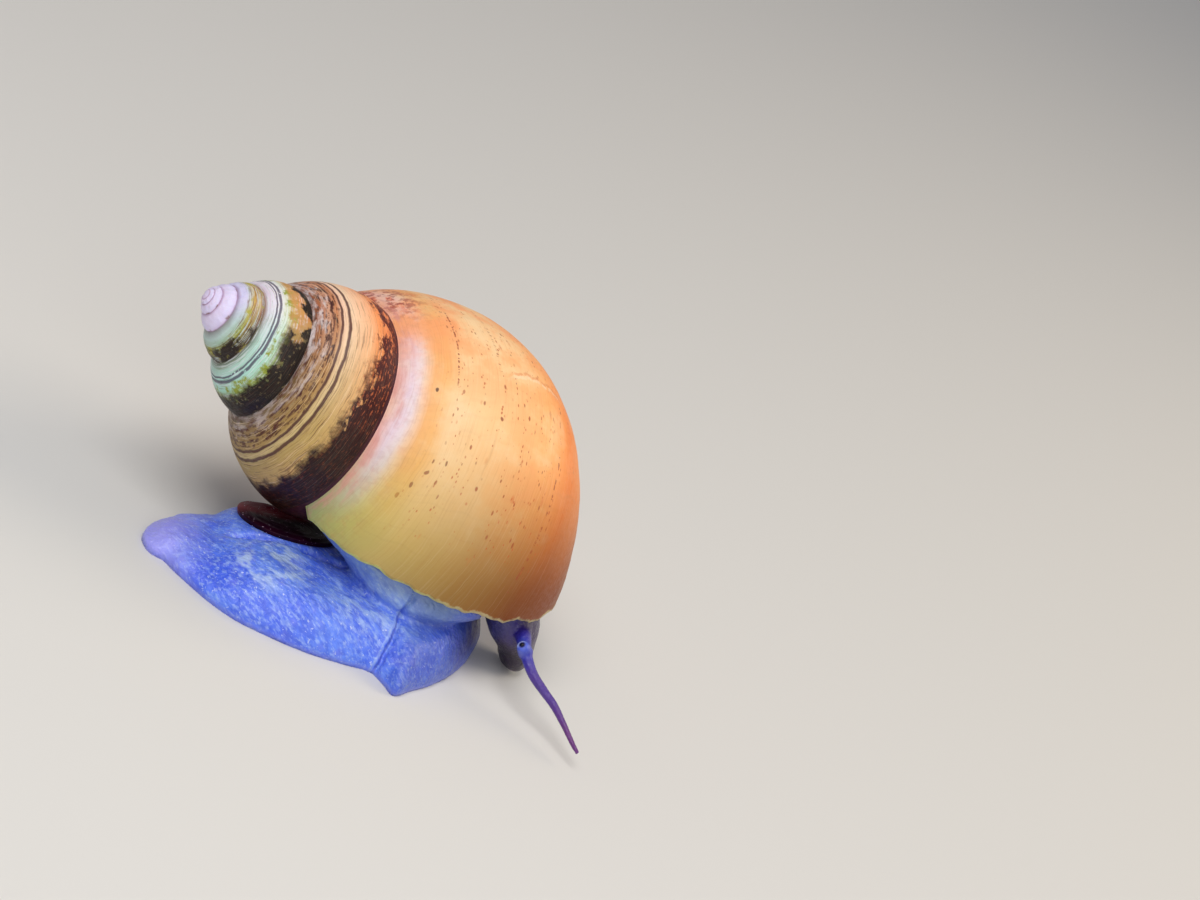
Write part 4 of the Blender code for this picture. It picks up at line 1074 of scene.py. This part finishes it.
def flesh_surface():
    """Wet blue skin with pale flecks painted as wet glints, lilac at the tail, darker in front with painted
    shade high on the front and under the lip, painted shade and a painted highlight along the crease, and
    dark violet at the head.
    """
    surface, place = new_surface("flesh")
    x, y, z = parts(place)
    colour = blend(fade(clouds_at(place, 0.45, 5.0), 0.35, 0.65), (58, 98, 240), (98, 140, 255))
    colour = blend(fade(clouds_at(place, 0.9, 3.0), 0.5, 0.75, 0.0, 0.4), colour, (112, 102, 232))
    downhill = put("Mapping", {0: place, "Rotation": (math.radians(22), 0, math.radians(65)),
                               "Scale": (0.4, 1.1, 0.4)}, vector_type="TEXTURE").outputs[0]
    # Patches where the painted glints are strongest: behind, by the lid, and on the near side further
    # forward.
    back = fade(distance(place, (-3.4, -2.0, 2.6)), 3.0, 1.7)
    side = fade(distance(place, (3.0, -2.0, 2.8)), 3.6, 2.0)
    # Flecks laid along the slope. The first row is a darker blue mottling of the skin. The pale rows are
    # painted highlights, wet glints on the wrinkles.
    for scale, detail, share, region, strength, tone in (
            (0.7, 3.0, 0.4, 1.0, 0.45, (48, 82, 216)), (0.55, 2.0, 0.46, back, 0.85, (188, 212, 255)),
            (0.85, 4.0, 0.44, side, 0.6, (174, 202, 250)), (1.2, 4.0, 0.38, 1.0, 0.4, (150, 182, 250)),
            (2.4, 3.0, 0.32, 1.0, 0.3, (190, 210, 252))):
        flecks = mask_of(SPECKLE, downhill, scale, detail, share, 0.08)
        colour = cover(colour, strength, times(flecks, region), tone)
    # Painted highlight: sparse tiny white glints.
    colour = cover(colour, 0.6, mask_of(SPECKLE, place, 4.5, 2.0, 0.14, 0.04), (226, 236, 255))

    colour = blend(fade(x, -6.5, -10.5, 0.0, 0.75), colour, (176, 168, 252))
    colour = blend(times(fade(x, 4.9, 6.5), 0.55), colour, (50, 72, 172))
    # Painted shade: dark purple over the front end of the foot, strongest high up under the head.
    colour = blend(times(fade(x, 8.4, 11.0), fade(z, 0.6, 2.0, 0.3, 0.9)), colour, (52, 40, 92))
    # Painted shade: teal-grey over the high flesh under the shell's lip.
    colour = blend(times(fade(z, 2.0, 4.6, 0.0, 0.6), fade(x, 9.8, 7.0)), colour, (124, 152, 166))
    # Along the crease on the near side: a dark blue line of painted shade in its groove, and a pale painted
    # highlight on the ridge just behind it.
    fold = scaled(z, -CREASE_LEAN, x)
    near = times(fade(y, 0.0, -1.5), fade(z, 3.4, 2.6))
    groove = CREASE_X - CREASE_LEAN
    for middle, half, share, tone in ((groove, 0.09, 0.6, (40, 60, 170)),
                                      (groove - 0.24, 0.1, 0.5, (170, 196, 250))):
        colour = cover(colour, times(near, share), mask_of(LINE, fold, place, middle, half, 0.25, 0.2), tone)
    colour = blend(fade(z, 0.5, 0.15, 0.0, 0.5), colour, (120, 130, 236))
    colour = head_colour(colour, place, x, y, z)

    grain = clouds_at(place, 7.0, 4.0)
    height = scaled(grain, 0.5, clouds_at(downhill, 1.6, 5.0))
    bump = put("Bump", {"Strength": 0.7, "Distance": 0.14 * MM, "Height": height}).outputs[0]
    return finish_surface(surface, {
        "Base Color": colour, "Roughness": fade(grain, 0.3, 0.7, 0.35, 0.55), "Normal": bump,
        "Coat Normal": bump, "Coat Weight": 0.5, "Coat Roughness": 0.2,
        "Subsurface Weight": 0.15, "Subsurface Scale": 0.5 * MM, "Subsurface Radius": (0.5, 0.6, 1.0)})


flesh = skin_piece()
flesh.data.materials.append(flesh_surface())
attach(flesh, "root")
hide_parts("foot_tail", "foot_middle", "foot_front", "body_column", "neck", "head", "snout",
            "tentacle_right_base", "tentacle_right_middle", "tentacle_right_tip",
            "tentacle_left_base", "tentacle_left_middle", "tentacle_left_tip",
            "eye_stalk_right", "eye_stalk_left")

# Lid
# A thin, dished oval of dark horn on the back of the foot, grown in rings round a point near one side. It is
# made of a disc with stepped rings, thickened and rounded. Crimson on its thin far side is painted light, as
# if shining through.
LID_RINGS = 22
LID_SIDES = 96
LID_FULLNESS = 0.16
LID_OFF_CENTRE = (-0.25, 0.3)
LID_THICKNESS = 0.36
LID_EDGE = 0.14
LID_RISE = 0.1
LID_DISH = 0.12
LID_BROW = 0.86
LID_STEP = 0.015


def lid_piece():
    """The lid, modelled flat as a disc, then dished, thickened and set in its place on the foot."""
    bpy.ops.object.select_all(action="DESELECT")
    bpy.ops.mesh.primitive_circle_add(vertices=LID_SIDES, radius=1.0, fill_type="NGON")
    lid = bpy.context.object
    lid.name = "lid"
    bpy.ops.object.mode_set(mode="EDIT")
    bpy.ops.mesh.select_all(action="SELECT")
    for _ in range(LID_RINGS):
        bpy.ops.mesh.inset(thickness=0.95 / LID_RINGS)
    bpy.ops.object.mode_set(mode="OBJECT")
    for vert in lid.data.vertices:
        reach = vert.co.length
        step = LID_STEP * math.sin(reach * 60) * min(reach * 2, 1)
        dish = LID_RISE - LID_DISH * (1 - reach ** 2) - LID_DISH * max(reach - LID_BROW, 0.0) / (1 - LID_BROW)
        fullness = 1 - LID_FULLNESS * math.cos(math.atan2(vert.co.y, vert.co.x))
        flat_x = LID_REACH[0] * vert.co.x + LID_OFF_CENTRE[0] * (1 - reach)
        flat_y = LID_REACH[1] * vert.co.y * fullness + LID_OFF_CENTRE[1] * (1 - reach)
        vert.co = (flat_x, flat_y, dish + step + 0.03 * noise.noise(Vector((flat_x, flat_y, 0.0)) * 1.2))
    apply_step(lid, "SOLIDIFY", thickness=LID_THICKNESS, offset=-0.4)
    apply_step(lid, "BEVEL", width=LID_EDGE, segments=4, limit_method="ANGLE", angle_limit=math.radians(50))
    place = Matrix.Translation(LID_CENTRE) @ LID_TURN.to_4x4()
    lid.data.transform(Matrix.Scale(MM, 4) @ place)
    lid.data.shade_smooth()
    return lid


def lid_surface():
    """Dark maroon horn with growth rings, crimson painted light on the side where light would shine through,
    and pale specks.
    """
    surface, place = new_surface("lid")
    away = put("VectorMath", {0: place, 1: tuple(LID_CENTRE)}, operation="SUBTRACT").outputs[0]
    shrink = (1 / LID_REACH[0], 1 / LID_REACH[1], 0.0)
    oval = put("VectorMath", {0: away, 1: shrink}, operation="MULTIPLY").outputs[0]
    x, y, _ = parts(oval)
    reach = put("VectorMath", {0: oval}, operation="LENGTH").outputs[1]
    rings = clouds_at(put("CombineXYZ", {0: times(reach, LID_RINGS)}).outputs[0], 1.0, 3.0)
    patches = clouds_at(place, 1.2, 4.0)
    colour = blend(fade(patches, 0.35, 0.7), (20, 1, 17), (36, 2, 25))
    colour = blend(fade(rings, 0.45, 0.7, 0.0, 0.4), colour, (58, 6, 32))
    # Painted light: crimson on the far side of the lid, as light shining through the horn.
    painted_backlight = scaled(x, -0.55, scaled(patches, 0.3, y))
    colour = blend(fade(painted_backlight, 0.2, 0.8), colour, (128, 3, 34))
    colour = blend(mask_of(SPECKLE, place, 6.0, 1.0, 0.05, 0.02), colour, (190, 170, 190))
    height = scaled(patches, 0.3, rings)
    return finish_surface(surface, {
        "Base Color": colour, "Roughness": fade(rings, 0.3, 0.7, 0.34, 0.5), "Specular IOR Level": 0.12,
        "Normal": put("Bump", {"Strength": 0.5, "Distance": 0.06 * MM, "Height": height}).outputs[0]})


lid = lid_piece()
lid.data.materials.append(lid_surface())
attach(lid, "root")
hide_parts("operculum")

# Eyes
# Two round black eyes, each seated in the end of its short stalk, where the skin makes a dark ring round it.
# The clear skin that passes over each eye is its gloss.
EYE_RADIUS = 0.15
EYE_SUNK = 0.03


def eye_surface():
    """Glossy black, clouded with deep blue."""
    surface, place = new_surface("eye")
    return finish_surface(surface, {
        "Base Color": blend(clouds_at(place, 5.0, 2.0), (4, 4, 10), (16, 14, 44)),
        "Roughness": 0.2, "Specular IOR Level": 0.3})


EYE_PAINT = eye_surface()
for side, (root, tip) in EYES.items():
    way = (tip - root) / np.linalg.norm(tip - root)
    bpy.ops.object.select_all(action="DESELECT")
    bpy.ops.mesh.primitive_uv_sphere_add(segments=48, ring_count=24, radius=EYE_RADIUS)
    eye = bpy.context.object
    eye.name = f"eye_of_{side}"
    bpy.ops.object.shade_smooth()
    eye.data.transform(Matrix.Scale(MM, 4) @ Matrix.Translation(Vector(tip - way * EYE_SUNK)))
    eye.data.materials.append(EYE_PAINT)
    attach(eye, "root")
    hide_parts(f"eye_{side}")

# Floor, light and camera
# A plain pale floor under the snail, soft light from large lamps as in a studio, and the camera of the
# photograph, a long lens a little above the snail on its right.
bpy.ops.object.select_all(action="DESELECT")
bpy.ops.mesh.primitive_plane_add(size=2.0)
floor = bpy.context.object
floor.name = "floor"
floor_paint = bpy.data.materials.new("floor")
floor_paint.use_nodes = True
finish_surface(floor_paint, {"Base Color": paint((222, 220, 216)), "Roughness": 0.7})
floor.data.materials.append(floor_paint)

# Each lamp: place, size of the square, power and colour. All shine at the middle of the snail.
LAMPS = {
    "lamp_above": ((-0.05, -0.08, 0.22), 0.14, 0.32, (1.0, 0.98, 0.95)),
    "lamp_front": ((0.02, -0.30, 0.12), 0.20, 0.26, (1.0, 0.97, 0.94)),
    "lamp_right": ((0.22, 0.06, 0.16), 0.15, 0.27, (1.0, 0.87, 0.68)),
}
LIT_POINT = Vector((0, 0, 0.008))
for name, (place, size, power, colour) in LAMPS.items():
    bpy.ops.object.light_add(type="AREA", location=place)
    lamp = bpy.context.object
    lamp.name = name
    lamp.data.size = size
    lamp.data.energy = power
    lamp.data.color = colour
    lamp.rotation_euler = (Vector(place) - LIT_POINT).to_track_quat("Z", "Y").to_euler()
sky = bpy.data.worlds.new("studio")
sky.use_nodes = True
feed(sky.node_tree.nodes["Background"], {"Color": (0.86, 0.9, 1.0, 1.0), "Strength": 0.3})
bpy.context.scene.world = sky
bpy.context.scene.view_settings.view_transform = "Standard"

CAMERA_PLACE = Vector((-40.82, -188.28, 98.65)) * MM
CAMERA_RIGHT = Vector((0.8774, -0.0357, 0.4785))
CAMERA_BACK = Vector((-0.2455, -0.8903, 0.3836))
CAMERA_LENS = 105.38
bpy.ops.object.camera_add(location=CAMERA_PLACE)
camera = bpy.context.object
camera.data.lens = CAMERA_LENS
camera.data.clip_start = 0.01
camera_up = CAMERA_BACK.cross(CAMERA_RIGHT)
camera.rotation_euler = Matrix((CAMERA_RIGHT, camera_up, CAMERA_BACK)).transposed().to_euler()
bpy.context.scene.camera = camera
